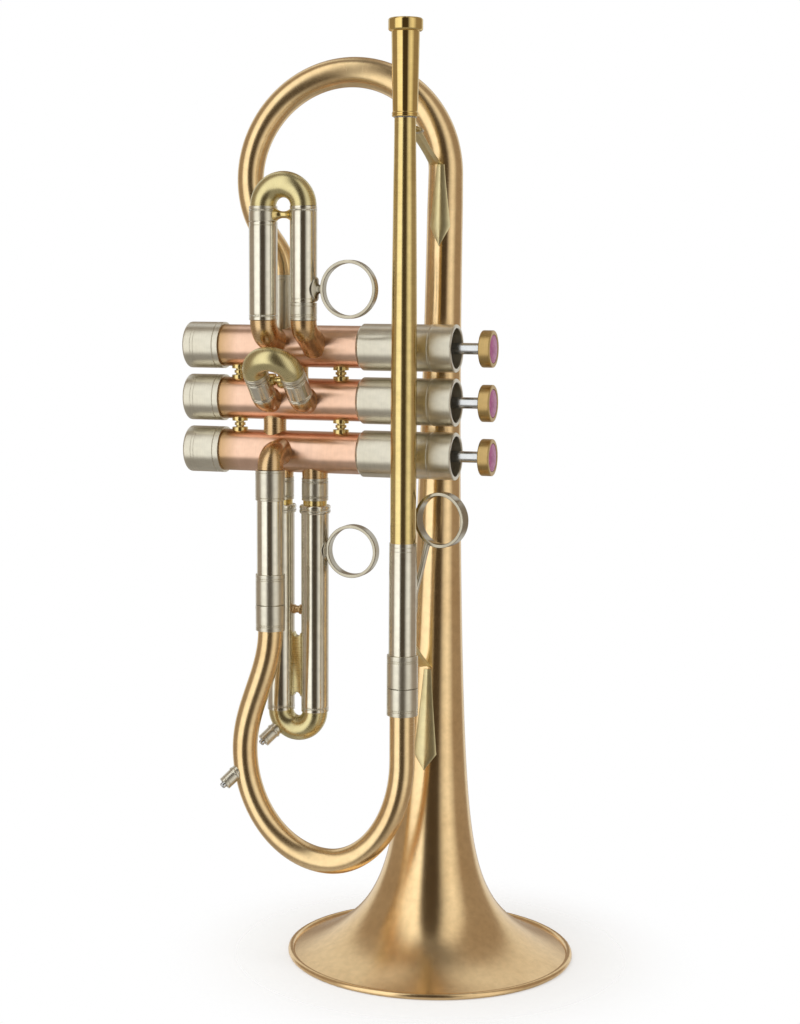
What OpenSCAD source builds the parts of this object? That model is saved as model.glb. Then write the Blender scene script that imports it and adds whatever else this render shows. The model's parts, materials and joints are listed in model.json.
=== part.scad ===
// Flugelhorn standing on its bell.
// +Z is up along the bell, +X runs along the valves to the finger buttons,
// and the leadpipe lies on the -Y side. The origin is the middle of the bell mouth.

/* [Bell] */
// Outside radius of the bell rim
bell_rim_r = 76.2; // [76:0.1:77]
// Radius of the wire that the rim is rolled around
bead_r = 1.7; // [1.5:0.1:1.8]
// Flat on the underside of the rim
bead_flat = 0.3; // [0.2:0.05:0.4]
// Outside radius of the bell stem at the tail seam
stem_r = 9.2; // [9:0.05:9.3]
// Height of the seam between the bell and its tail
seam_z = 395; // [393:0.5:397]
// Length scale of the flare
flare_len = 115; // [112:1:118]
// How fast the flare opens
flare_power = 6.2; // [6:0.05:6.4]
// Thickness of the bell sheet
bell_wall = 0.7; // [0.6:0.05:0.8]

/* [Body] */
// Lean of the leadpipe, valves and slides against the bell axis
body_lean = 0.8; // [0.7:0.05:0.9]
// How far the leadpipe and the front slides stand in front of the bell axis
front_y = -51; // [-51.4:0.1:-50.8]
// How far the valve axes stand in front of the bell axis
valve_y = -27; // [-27.2:0.1:-26.9]
// Place of the leadpipe along the valves
lead_x = 0.3; // [0.2:0.1:0.5]

/* [Valves] */
// Height of the first valve axis
valve_1_z = 324.8; // [324.6:0.1:325]
// Distance from one valve axis to the next
valve_pitch = 27.4; // [27.3:0.05:27.6]
// Radius of the bore that the piston slides in
valve_bore_r = 9; // [8.9:0.05:9.1]
// Outside radius of the copper casing
casing_r = 10.85; // [10.8:0.05:10.9]
// How far a finger button travels
valve_stroke = 16; // [14:0.5:16]
// Radial running clearance of the pistons and slide legs
running_gap = 0.05; // [0.03:0.01:0.08]

/* [Tubing] */
// Radius of the air passage in the slides
air_r = 5.6; // [5.4:0.05:5.7]
// Radius of the air passage through the valves
port_r = 4.5; // [4:0.1:4.6]
// Radius of the mouthpiece socket
mouth_r = 4.9; // [4.8:0.05:5]
// Outside radius of the large bend of the main slide
crook_r = 6.45; // [6.3:0.05:6.6]
// Angle that the second slide rises toward the player
second_rise = 46; // [44:1:48]

/* [Hidden] */
$fn = 64;

sweep_sides = 24;
tube_wall = 0.7;

// Stations along a valve, from the bottom cap to the button
cap_end_x = -126;
cap_open_x = -106;
cap_floor_x = -124;
casing_end_x = -120;
upper_x = -30;
cup_x = 8.9;
cup_floor_x = 11.4;
cup_open_x = 20.7;
button_back_x = 34.1;
button_face_x = 40;
piston_bottom_x = -92;
piston_top_x = 5.5;
stem_foot_x = -18;
upper_r = 12;
cup_r = 12.18;
cap_r = 12.07;
stem_rod_r = 2.88;
button_r = 9.4;
inlay_r = 7.1;

// Places along the valves where tubes enter them
knuckle_12_x = -66;
knuckle_23_x = -78.3;
tail_port_x = -72.9;
main_port_x = -71.5;
first_left_x = -75;
first_right_x = -53.2;
second_left_x = -77;
second_right_x = -57;
third_left_x = -75.1;
third_right_x = -56;

// Heights of the joints in the tubing
receiver_z = 486.3;
receiver_end_z = 438.7;
sleeve_z = 227.7;
right_ferrule_z = 170.6;
right_joint_z = 154.1;
right_crook_z = 139.7;
left_elbow_z = 262.2;
left_sleeve_z = 246.7;
left_ferrule_z = 208.4;
left_joint_z = 192.8;
left_crook_z = 179.2;
first_elbow_z = 338.6;
first_right_joint_z = 347.8;
first_joint_z = 387.9;
first_bend_z = 395.8;
third_stub_z = 256.5;
third_ferrule_z = 244.9;
third_tube_z = 242.3;
third_bend_z = 133;
third_fixed_end_z = 180;
tail_end_z = 361.4;
second_start_y = -40;
second_elbow_r = 8;
second_leg_len = 17;

function valve_z(n) = valve_1_z - (n - 1) * valve_pitch;
// A point of the leaning body in the frame of the bell
function to_bell(p) = [p.x * cos(body_lean) - p.z * sin(body_lean), p.y,
    p.x * sin(body_lean) + p.z * cos(body_lean)];
function ease(t) = t <= 0 ? 0 : t >= 1 ? 1 : (1 - cos(180 * t)) / 2;
function unit(v) = v / norm(v);
function bezier(a, b, c, d, t) = pow(1 - t, 3) * a + 3 * t * pow(1 - t, 2) * b
    + 3 * t * t * (1 - t) * c + pow(t, 3) * d;

// ---- general shapes ----

module body_frame() rotate([0, -body_lean, 0]) children();

module pipe(r_out, r_in, len) difference() {
    cylinder(r = r_out, h = len);
    translate([0, 0, -1]) cylinder(r = r_in, h = len + 2);
}

// Upright pipe from z0 up to z1
module riser(x, y, z0, z1, r_out, r_in) translate([x, y, z0]) pipe(r_out, r_in, z1 - z0);

// Collar with a fine groove near one end
module collar(x, y, z0, z1, r_out, r_in, groove_z) difference() {
    riser(x, y, z0, z1, r_out, r_in);
    translate([x, y, groove_z]) rotate_extrude() translate([r_out, 0]) circle(r = 0.25, $fn = 16);
}

// Cylinder along valve n from x0 to x1
module valve_rod(n, x0, x1, r) translate([x0, valve_y, valve_z(n)]) rotate([0, 90, 0])
    cylinder(r = r, h = x1 - x0);

// Half of a U bend in the XZ plane, its open end down
module u_bend(span, r_out, r_in = 0) rotate([90, 0, 0]) rotate_extrude(angle = 180)
    translate([span / 2, 0]) difference() {
        circle(r = r_out);
        if (r_in > 0) circle(r = r_in);
    }

// Bent tube that starts at the origin, heads along -Z and curls toward -Y
module curl(bend_r, turn, r_out, r_in) translate([0, -bend_r, 0]) mirror([0, 0, 1]) rotate([90, 0, 90])
    rotate_extrude(angle = turn) translate([bend_r, 0]) difference() {
        circle(r = r_out);
        circle(r = r_in);
    }

// Elbow on valve n: a straight stub that runs along its own +Z into the casing, and a curl behind it
module valve_elbow(n, at, way, bend_r, turn, reach, r_out, r_in) {
    difference() {
        translate(at) rotate(way) pipe(r_out, r_in, reach);
        valve_rod(n, cap_end_x, cup_open_x, casing_r);
    }
    translate(at) rotate(way) curl(bend_r, turn, r_out, r_in);
}

// Spool with a narrow waist, along +Z
module spool(r, len) rotate_extrude() difference() {
    square([r, len]);
    translate([r * 1.32, len / 2]) circle(r = r * 0.85, $fn = 32);
}

// Round rod between two points
module rod(a, b, r) {
    d = b - a;
    translate(a) rotate([0, acos(d.z / norm(d)), atan2(d.y, d.x)]) cylinder(r = r, h = norm(d));
}

// Closed skin of a swept tube: rings of points with an outer and an inner wall.
// Its ends are square to the directions start and finish.
module swept_tube(path, radii, wall, start, finish) {
    rings = len(path);
    sides = sweep_sides;
    tangents = [for (i = [0 : rings - 1]) i == 0 ? start : i == rings - 1 ? finish
        : unit(path[i + 1] - path[i - 1])];
    across = [for (t = tangents) unit(cross(t, [0, 1, 0]))];
    up = [for (i = [0 : rings - 1]) cross(across[i], tangents[i])];
    points = [for (w = [0, wall]) for (i = [0 : rings - 1]) for (k = [0 : sides - 1])
        path[i] + (radii[i] - w) * (across[i] * cos(360 * k / sides) + up[i] * sin(360 * k / sides))];
    inner = rings * sides;
    outer_faces = [for (i = [0 : rings - 2]) for (k = [0 : sides - 1])
        let (n = (k + 1) % sides) [i * sides + n, (i + 1) * sides + n, (i + 1) * sides + k, i * sides + k]];
    inner_faces = [for (f = outer_faces) [inner + f[3], inner + f[2], inner + f[1], inner + f[0]]];
    last = (rings - 1) * sides;
    start_faces = [for (k = [0 : sides - 1]) let (n = (k + 1) % sides) [inner + k, inner + n, n, k]];
    end_faces = [for (k = [0 : sides - 1]) let (n = (k + 1) % sides)
        [inner + last + n, inner + last + k, last + k, last + n]];
    polyhedron(points, concat(outer_faces, inner_faces, start_faces, end_faces), convexity = 6);
}

// ---- bell ----

function stem_part(z) = stem_r + 0.0025 * (seam_z - z) + 0.000076 * pow(seam_z - z, 2);
bead_z = bead_r - bead_flat;
flare_open = bell_rim_r - bead_r - stem_part(bead_z);
function bell_r(z) = stem_part(z) + flare_open * pow(flare_len / (z - bead_z + flare_len), flare_power);
bell_rings = 30;
function bell_z(i) = bead_z + (seam_z - bead_z) * pow(i / bell_rings, 1.7);

// Outline of a skin on the bell between two offsets
module bell_outline(inner, outer) polygon(concat(
    [for (i = [0 : bell_rings]) [bell_r(bell_z(i)) + outer, bell_z(i)]],
    [for (i = [bell_rings : -1 : 0]) [bell_r(bell_z(i)) + inner, bell_z(i)]]));

module bell_skin(inner, outer) rotate_extrude() bell_outline(inner, outer);

module bell() color("peru") bell_skin(-bell_wall, 0);

// The rim is rolled around a wire, which has a flat underneath
module bell_rim_wire() color("peru") rotate_extrude() difference() {
    translate([bell_rim_r - bead_r, bead_z]) circle(r = bead_r);
    bell_outline(-bell_wall, 0);
    translate([0, -10]) square([bell_rim_r + 5, 10]);
}

// The tail rises from the seam, turns over in an arch and drops into the first valve
arch_r = 50;
arch_h = 52;
arch_z = 413.5;
arch_turn = 205;
tail_end = to_bell([tail_port_x, valve_y, tail_end_z]);
arch_end = [-arch_r + arch_r * cos(arch_turn), 0, arch_z + arch_h * sin(arch_turn)];
tail_rings = 44;
function tail_flat(t) = t < 0.08 ? [0, 0, seam_z + (arch_z - seam_z) * t / 0.08]
    : t < 0.84 ? let (a = arch_turn * (t - 0.08) / 0.76)
        [-arch_r + arch_r * cos(a), 0, arch_z + arch_h * sin(a)]
    : bezier(arch_end, arch_end + [6, 0, -13], [tail_end.x, 0, tail_end.z + 13], [tail_end.x, 0, tail_end.z],
        (t - 0.84) / 0.16);
function tail_point(t) = tail_flat(t) + [0, valve_y * ease((t - 0.25) / 0.75), 0];
function tail_radius(t) = 6.3 + (bell_r(seam_z) - 6.3) * pow(1 - t, 1.3);

module bell_tail() color("peru") swept_tube([for (i = [0 : tail_rings]) tail_point(i / tail_rings)],
    [for (i = [0 : tail_rings]) tail_radius(i / tail_rings)], tube_wall,
    [0, 0, 1], to_bell([0, 0, -1]));

module tail_ferrule() color("silver") body_frame() difference() {
    collar(tail_port_x, valve_y, valve_1_z, tail_end_z, 6.7, air_r, tail_end_z - 2.5);
    valve_rod(1, cap_end_x, cup_open_x, casing_r);
    translate([first_left_x, valve_y, valve_1_z]) rotate([90 - casing_ports[0][2][1], 0, 0])
        cylinder(r = 6.85, h = 30);
}

// ---- leadpipe ----

module mouthpiece_receiver() color("gold") body_frame() translate([lead_x, front_y, 0]) difference() {
    rotate_extrude() polygon([[3, receiver_end_z], [6.3, receiver_end_z], [6.6, receiver_end_z + 0.4],
        [6.6, receiver_end_z + 2], [6.25, receiver_end_z + 2.4], [6.95, receiver_z - 6.4],
        [8, receiver_z - 6.1],
        [8.55, receiver_z - 5.4], [8.55, receiver_z - 0.7], [7.9, receiver_z], [3, receiver_z]]);
    translate([0, 0, receiver_z - 28]) cylinder(r = mouth_r, h = 40);
    translate([0, 0, receiver_end_z - 5]) cylinder(r = 4.2, h = 40);
    translate([0, 0, receiver_end_z - 5]) cylinder(r = 5.35, h = 19.6);
}

module leadpipe() color("goldenrod") body_frame() translate([lead_x, front_y, 0]) rotate_extrude()
    polygon([[6.5, 223], [6.5, 309], [6.25, 347], [5.8, 397], [5.35, receiver_end_z],
        [5.35, receiver_end_z + 14.6], [4.7, receiver_end_z + 14.6], [4.7, receiver_end_z], [5.2, 397],
        [5.65, 347], [5.9, 309], [5.9, 223]]);

module main_sleeve_right() color("silver") body_frame() difference() {
    translate([lead_x, front_y, 0]) rotate_extrude() polygon([[6.25, right_ferrule_z],
        [7.1, right_ferrule_z], [6.95, sleeve_z], [6.5, sleeve_z], [6.5, 223], [6.25, 223]]);
    for (z = [sleeve_z - 2, sleeve_z - 4]) translate([lead_x, front_y, z]) rotate_extrude()
        translate([7.02, 0]) circle(r = 0.2, $fn = 16);
}

module main_sleeve_left() color("silver") body_frame()
    riser(main_port_x, front_y, left_ferrule_z, left_sleeve_z, 6.9, 6.25);

module main_fixed_ferrules() color("silver") body_frame() {
    collar(lead_x, front_y, right_joint_z, right_ferrule_z, 7.95, 6.25, right_ferrule_z - 2.5);
    collar(main_port_x, front_y, left_joint_z, left_ferrule_z, 7.6, 6.25, left_ferrule_z - 2);
    collar(main_port_x, front_y, left_sleeve_z, left_elbow_z, 7.6, 6.25, left_sleeve_z + 2);
}

elbow_bend_r = valve_z(3) - left_elbow_z;
module third_valve_elbow() color("peru") body_frame()
    valve_elbow(3, [main_port_x, front_y + elbow_bend_r, valve_z(3)], [90, 0, 180], elbow_bend_r, 90,
        valve_y - front_y - elbow_bend_r, 6.6, air_r);

// ---- valve casings ----

// Ways through a casing, as [place, angle from the front toward +Z]
casing_ports = [
    [[knuckle_12_x, -90], [tail_port_x, 90], [first_left_x, 15], [first_right_x, 28]],
    [[knuckle_23_x, -90], [knuckle_12_x, 90], [second_left_x, 0], [second_right_x, 0]],
    [[main_port_x, 0], [knuckle_23_x, 90], [third_left_x, -90], [third_right_x, -90]]];

module port(n, place, angle, r) translate([place, valve_y, valve_z(n)]) rotate([90 - angle, 0, 0])
    cylinder(r = r, h = casing_r + 2);

module casing(n) color("darksalmon") body_frame() difference() {
    valve_rod(n, casing_end_x, upper_x, casing_r);
    valve_rod(n, casing_end_x - 1, upper_x + 1, valve_bore_r);
    for (p = casing_ports[n - 1]) port(n, p[0], p[1], air_r);
}

module valve_1_casing() casing(1);
module valve_2_casing() casing(2);
module valve_3_casing() casing(3);

// Turned outline along a valve: [place, radius] pairs and a bore
module turned(n, outline, bore) translate([0, valve_y, valve_z(n)]) rotate([0, 90, 0])
    rotate_extrude() polygon(concat([[bore, outline[0][0]]], [for (p = outline) [p[1], p[0]]],
        [[bore, outline[len(outline) - 1][0]]]));

module upper_casings() color("silver") body_frame() for (n = [1 : 3]) turned(n, [[upper_x, 11],
    [upper_x + 1.2, upper_r], [cup_x - 1, upper_r], [cup_x - 0.9, upper_r - 0.35], [cup_x, upper_r - 0.35]],
    valve_bore_r);

module valve_cups() color("silver") body_frame() for (n = [1 : 3]) difference() {
    turned(n, [[cup_x, cup_r - 0.2], [cup_x + 0.3, cup_r], [cup_open_x - 0.4, cup_r],
        [cup_open_x, cup_r - 0.4]], stem_rod_r + 0.4);
    valve_rod(n, cup_floor_x, cup_open_x + 1, 10.2);
}

module bottom_caps() color("silver") body_frame() for (n = [1 : 3]) difference() {
    turned(n, [[cap_end_x, cap_r - 2.2], [cap_end_x + 0.8, cap_r - 0.9], [cap_end_x + 2.4, cap_r],
        [cap_open_x - 3.3, cap_r], [cap_open_x - 3.1, cap_r - 0.25], [cap_open_x - 2.9, cap_r],
        [cap_open_x, cap_r]], 1.5);
    valve_rod(n, cap_floor_x, casing_end_x + 1, valve_bore_r);
    valve_rod(n, casing_end_x, cap_open_x + 1, casing_r);
}

module cup_felts() color("ivory") body_frame() for (n = [1 : 3]) difference() {
    valve_rod(n, cup_floor_x, cup_floor_x + 2, 9);
    valve_rod(n, cup_floor_x - 1, cup_floor_x + 3, stem_rod_r + 0.4);
}

module valve_knuckles() color("peru") body_frame() for (n = [1, 2]) difference() {
    riser(n == 1 ? knuckle_12_x : knuckle_23_x, valve_y, valve_z(n + 1), valve_z(n), 6.6, air_r);
    valve_rod(n, cap_end_x, cup_open_x, casing_r);
    valve_rod(n + 1, cap_end_x, cup_open_x, casing_r);
}

module casing_spools() color("goldenrod") body_frame() for (n = [1, 2], x = [-98, -41.7]) difference() {
    translate([x, valve_y, valve_z(n + 1) + casing_r - 1]) spool(4.1, valve_pitch - 2 * casing_r + 2);
    valve_rod(n, cap_end_x, cup_open_x, casing_r);
    valve_rod(n + 1, cap_end_x, cup_open_x, casing_r);
}

// Spools that carry the leadpipe and the bell on the first and third valves
module bell_and_lead_spools() color("goldenrod") {
    body_frame() for (n = [1, 3]) difference() {
        translate([lead_x, valve_y, valve_z(n)]) rotate([90, 0, 0]) translate([0, 0, 10])
            spool(3.6, valve_y - front_y - 14);
        valve_rod(n, cap_end_x, cup_open_x, upper_r);
        translate([lead_x, front_y, 200]) cylinder(r = 6.52, h = 200);
    }
    for (n = [1, 3]) difference() {
        translate(to_bell([4.5, valve_y, valve_z(n)])) rotate([-90, 0, 0]) translate([0, 0, 11])
            spool(3.6, -valve_y - 19);
        body_frame() valve_rod(n, cap_end_x, cup_open_x, upper_r);
        bell_skin(-8, 0);
    }
}

// ---- stays between bell and leadpipe ----

// Heights of each stay: on the leadpipe and on the axis of the bell
stays = [[437.5, 413], [182.6, 147]];
upper_kite_z = 418;
lower_kite_z = 157;
receiver_foot_z = 431;
// Outside radius of the feet on the leadpipe
foot_r = 8.1;

// Tall kite outline: its narrow end up at the origin, its point down
module kite(len, width, shoulder) polygon([[-2, 0], [2, 0], [width / 2, -shoulder], [0, -len],
    [-width / 2, -shoulder]]);

module stay_bar(a, b, width) {
    d = b - a;
    translate(a) rotate([0, acos(d.z / norm(d)), atan2(d.y, d.x)])
        translate([-0.8, -width / 2, 0]) cube([1.6, width, norm(d)]);
}

module bell_stays() color("darkkhaki") for (s = stays) difference() {
    stay_bar(to_bell([lead_x, front_y, s[0]]), [0, 0, s[1]], 7);
    body_frame() translate([lead_x, front_y, s[0] - 60]) cylinder(r = foot_r + 0.02, h = 120);
    translate([0, 0, s[1] - 60]) cylinder(r = bell_r(s[1] - 4) + 1.05, h = 120);
}

module stay_feet() color("darkkhaki") {
    intersection() {
        translate([0, 0, upper_kite_z]) rotate([90, 0, 0]) linear_extrude(height = 40)
            kite(41.4, 10.2, 31.3);
        union() {
            difference() {
                cylinder(r = stem_r + 1, h = 500);
                translate([0, 0, -1]) cylinder(r = stem_r + 0.02, h = 502);
                translate([0, 0, seam_z - 400]) cylinder(r = 80, h = 400);
            }
            intersection() {
                bell_skin(0, 1);
                translate([0, 0, seam_z - 60]) cylinder(r = 30, h = 60);
            }
        }
    }
    intersection() {
        translate([0, 0, lower_kite_z]) rotate([90, 0, 0]) linear_extrude(height = 40) kite(53.5, 11.6, 45);
        bell_skin(0, 1);
    }
    body_frame() difference() {
        intersection() {
            translate([lead_x, front_y, receiver_foot_z]) rotate([-90, 0, 0]) linear_extrude(height = 12)
                kite(45, 8, 32);
            translate([lead_x, front_y, receiver_foot_z]) cylinder(r = foot_r, h = 50);
        }
        translate([lead_x, front_y, receiver_foot_z - 1])
            cylinder(r = 6.62, h = receiver_end_z - receiver_foot_z + 3.4);
        translate([lead_x, front_y, receiver_end_z + 2.4]) cylinder(r1 = 6.27, r2 = 6.97, h = 38.8);
    }
    body_frame() difference() {
        intersection() {
            translate([lead_x, front_y, right_ferrule_z + 1]) rotate([-90, 0, 0]) linear_extrude(height = 12)
                kite(14, 8, 9);
            translate([lead_x, front_y, right_ferrule_z]) cylinder(r = foot_r, h = 40);
        }
        translate([lead_x, front_y, right_ferrule_z]) cylinder(r1 = 7.1, r2 = 7, h = 57.2);
    }
}

pinky_ring_at = [18.2, -44, 239.3];
pinky_turn = 12;
module finger_ring(r_out, band, width) rotate([90, 0, 0]) translate([0, 0, -width / 2])
    rotate_extrude() polygon([[r_out - band, 0.5], [r_out - band + 0.4, 0], [r_out - 0.4, 0], [r_out, 0.5],
        [r_out, width - 0.5], [r_out - 0.4, width], [r_out - band + 0.4, width],
        [r_out - band, width - 0.5]]);

module pinky_ring() color("silver") body_frame() translate(pinky_ring_at) rotate([0, 0, -pinky_turn])
    finger_ring(14, 1.7, 6);

post_top = [11.4, -42.4, 231];
post_foot = [4.6, -44.6, 203];
module pinky_ring_post() color("silver") body_frame() {
    difference() {
        rod(post_top, post_foot, 1.8);
        translate([lead_x, front_y, right_ferrule_z]) cylinder(r = 7.5, h = 57);
        translate(pinky_ring_at) rotate([90, 0, -pinky_turn]) translate([0, 0, -20])
            cylinder(r = 14, h = 40);
    }
    difference() {
        intersection() {
            translate([lead_x, front_y, 209]) rotate([0, 0, -40]) rotate([-90, 0, 0])
                linear_extrude(height = 12) rotate([0, 0, 180]) kite(22, 8, 14);
            translate([lead_x, front_y, 180]) cylinder(r = 8, h = 40);
        }
        translate([lead_x, front_y, 175]) cylinder(r = 7.12, h = 50);
    }
}

// ---- pistons, stems, buttons and springs ----

// Ways through a piston, as pairs of [place, angle]: first the open way, then the two
// that line up with the slide when the valve is pressed
piston_ways = [
    [[[knuckle_12_x, -90], [tail_port_x, 90]],
        [[knuckle_12_x + valve_stroke, -90], [first_right_x + valve_stroke, 28]],
        [[first_left_x + valve_stroke, 15], [tail_port_x + valve_stroke, 90]]],
    [[[knuckle_23_x, -90], [knuckle_12_x, 90]],
        [[knuckle_23_x + valve_stroke, -90], [second_left_x + valve_stroke, 0]],
        [[second_right_x + valve_stroke, 0], [knuckle_12_x + valve_stroke, 90]]],
    [[[main_port_x, 0], [knuckle_23_x, 90]],
        [[main_port_x + valve_stroke, 0], [third_right_x + valve_stroke, -90]],
        [[third_left_x + valve_stroke, -90], [knuckle_23_x + valve_stroke, 90]]]];

module piston_way(n, way) {
    for (p = way) port(n, p[0], p[1], port_r);
    valve_rod(n, min(way[0][0], way[1][0]), max(way[0][0], way[1][0]), port_r + 0.3);
}

module piston(n) color("silver") body_frame() difference() {
    valve_rod(n, piston_bottom_x, piston_top_x, valve_bore_r - running_gap);
    valve_rod(n, piston_bottom_x - 1, piston_bottom_x + 3, valve_bore_r - 1);
    valve_rod(n, stem_foot_x, piston_top_x + 1, valve_bore_r - 1);
    for (w = piston_ways[n - 1]) piston_way(n, w);
}

module valve_1_piston() piston(1);
module valve_2_piston() piston(2);
module valve_3_piston() piston(3);

// Stem with its finger button
module button(n) color("goldenrod") body_frame() {
    valve_rod(n, stem_foot_x, button_back_x, stem_rod_r);
    difference() {
        turned(n, [[button_back_x, button_r - 0.5], [button_back_x + 0.5, button_r],
            [button_face_x - 0.6, button_r], [button_face_x, button_r - 0.6]], 0);
        valve_rod(n, button_face_x - 1.2, button_face_x + 1, inlay_r);
    }
}

module valve_1_button() button(1);
module valve_2_button() button(2);
module valve_3_button() button(3);

module inlay(n) color("violet") body_frame() turned(n, [[button_face_x - 1.2, inlay_r],
    [button_face_x - 0.2, inlay_r], [button_face_x + 0.3, inlay_r - 2.5], [button_face_x + 0.4, 1]], 0);

module valve_1_inlay() inlay(1);
module valve_2_inlay() inlay(2);
module valve_3_inlay() inlay(3);

spring_turns = 7;
spring_r = 7;
spring_wire_r = 0.6;
function spring_point(n, t) = let (x = cap_floor_x + 0.7 + (piston_bottom_x + 1.6 - cap_floor_x) * t)
    to_bell([x, valve_y + spring_r * cos(360 * spring_turns * t),
        valve_z(n) + spring_r * sin(360 * spring_turns * t)]);

// Round wire along a helix, six-sided
module spring(n) color("silver") {
    steps = spring_turns * 12;
    sides = 6;
    path = [for (i = [0 : steps]) spring_point(n, i / steps)];
    axis = to_bell([1, 0, 0]);
    tangents = [for (i = [0 : steps]) unit(path[min(i + 1, steps)] - path[max(i - 1, 0)])];
    across = [for (t = tangents) unit(cross(t, axis))];
    up = [for (i = [0 : steps]) cross(across[i], tangents[i])];
    points = [for (i = [0 : steps]) for (k = [0 : sides - 1]) path[i]
        + spring_wire_r * (across[i] * cos(360 * k / sides) + up[i] * sin(360 * k / sides))];
    faces = [for (i = [0 : steps - 1]) for (k = [0 : sides - 1]) let (m = (k + 1) % sides)
        [i * sides + m, (i + 1) * sides + m, (i + 1) * sides + k, i * sides + k]];
    polyhedron(points, concat(faces, [[for (k = [sides - 1 : -1 : 0]) k],
        [for (k = [0 : sides - 1]) steps * sides + k]]), convexity = 20);
}

module valve_1_spring() spring(1);
module valve_2_spring() spring(2);
module valve_3_spring() spring(3);

// ---- first slide, drawn upward ----

module first_fixed_tubes() color("silver") body_frame() {
    collar(first_left_x, front_y, first_elbow_z, first_joint_z, 7.25, 6.4, first_joint_z - 2.5);
    riser(first_right_x, front_y, first_elbow_z, first_joint_z + 2, 6, 5.4);
    difference() {
        collar(first_right_x, front_y, first_elbow_z, first_right_joint_z, 6.85, 6, first_right_joint_z - 2);
        translate([first_right_x, front_y, first_elbow_z + 2.5]) rotate_extrude() translate([6.85, 0])
            circle(r = 0.25, $fn = 16);
    }
}

// Elbow at the foot of an upright tube at the front, which turns back into the first valve
module first_elbow(x, bend_r, turn, r_out) {
    end = [x, front_y + bend_r * (1 - cos(turn)), first_elbow_z - bend_r * sin(turn)];
    valve_elbow(1, end, [180 + turn, 0, 0], bend_r, turn, (valve_y - end.y) / sin(turn), r_out, air_r);
}

module first_elbows() color("peru") body_frame() {
    first_elbow(first_left_x, 9, 75, 6.8);
    first_elbow(first_right_x, 7, 62, 6.6);
}

first_span = first_right_x - first_left_x;
module first_crook() color("darkkhaki") body_frame()
    translate([(first_left_x + first_right_x) / 2, front_y, first_bend_z]) u_bend(first_span, 6.6, air_r);

module first_legs() color("silver") body_frame() {
    riser(first_left_x, front_y, first_elbow_z + 4, first_joint_z, 6.4 - running_gap, air_r);
    difference() {
        collar(first_left_x, front_y, first_joint_z, first_bend_z, 7.25, air_r, first_bend_z - 1.5);
        translate([first_left_x, front_y, first_bend_z - 3]) rotate_extrude() translate([7.25, 0])
            circle(r = 0.25, $fn = 16);
    }
    collar(first_right_x, front_y, first_right_joint_z, first_bend_z, 6.85, 6 + running_gap,
        first_bend_z - 2);
}

module first_spool() color("darkkhaki") body_frame() difference() {
    translate([first_left_x, front_y, 391.5]) rotate([0, 90, 0]) translate([0, 0, 6])
        spool(3.4, first_span - 12);
    translate([first_left_x, front_y, 380]) cylinder(r = 7.25, h = 20);
    translate([first_right_x, front_y, 380]) cylinder(r = 6.85, h = 20);
}

first_ring_z = 354.3;
first_ring_x = -28.8;
module first_ring() color("silver") body_frame() difference() {
    union() {
        translate([first_ring_x, front_y, first_ring_z]) finger_ring(14.7, 1.7, 5);
        translate([first_right_x, front_y, first_ring_z]) rotate([0, 90, 0]) intersection() {
            cylinder(r = 6, h = 10.8);
            translate([-10, -4, 0]) cube([20, 8, 20]);
        }
    }
    translate([first_right_x, front_y, first_elbow_z]) cylinder(r = 6.85, h = 60);
    translate([first_ring_x, front_y, first_ring_z]) rotate([90, 0, 0]) translate([0, 0, -9])
        cylinder(r = 13, h = 18);
}

// ---- second slide, drawn toward the player and up ----

second_joint_y = second_start_y - second_elbow_r * sin(second_rise);
second_joint_z = valve_z(2) + second_elbow_r * (1 - cos(second_rise));
second_span = second_right_x - second_left_x;

// Places its children on the second slide: +Z along its legs, the origin between the joints
module second_frame() body_frame() translate([(second_left_x + second_right_x) / 2, second_joint_y,
    second_joint_z]) rotate([90 - second_rise, 0, 0]) children();

module second_elbows() color("peru") body_frame() for (x = [second_left_x, second_right_x])
    valve_elbow(2, [x, second_start_y, valve_z(2)], [-90, 0, 0], second_elbow_r, second_rise,
        valve_y - second_start_y, 6.3, 5.4);

module second_fixed_tubes() color("silver") second_frame() for (s = [-1, 1])
    collar(s * second_span / 2, 0, 0, second_leg_len - 3.2, 6.45, 5.9, 1.5);

module second_legs() color("silver") second_frame() for (s = [-1, 1]) {
    riser(s * second_span / 2, 0, 0.5, second_leg_len - 3.2, 5.9 - running_gap, 5.3);
    collar(s * second_span / 2, 0, second_leg_len - 3.2, second_leg_len, 6.45, 5.3, second_leg_len - 1.6);
}

module second_crook() color("darkkhaki") second_frame() translate([0, 0, second_leg_len])
    u_bend(second_span, 6.2, 5.3);

module second_spool() color("goldenrod") second_frame() difference() {
    translate([-second_span / 2, 4, 8]) rotate([0, 90, 0]) translate([0, 0, 4])
        spool(3, second_span - 8);
    for (s = [-1, 1]) translate([s * second_span / 2, 0, -1]) cylinder(r = 6.45, h = 30);
}

// ---- third slide, drawn downward ----

third_span = third_right_x - third_left_x;
third_leg_r = 7.2;
module third_stubs() color("peru") body_frame() for (x = [third_left_x, third_right_x]) difference() {
    riser(x, valve_y, third_stub_z, valve_z(3), 6.6, air_r);
    valve_rod(3, cap_end_x, cup_open_x, casing_r);
}

module third_fixed_tubes() color("silver") body_frame() for (x = [third_left_x, third_right_x]) {
    collar(x, valve_y, third_ferrule_z, third_stub_z, 6.95, air_r, third_stub_z - 2);
    riser(x, valve_y, third_fixed_end_z, third_ferrule_z, 6.25, air_r);
}

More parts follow.
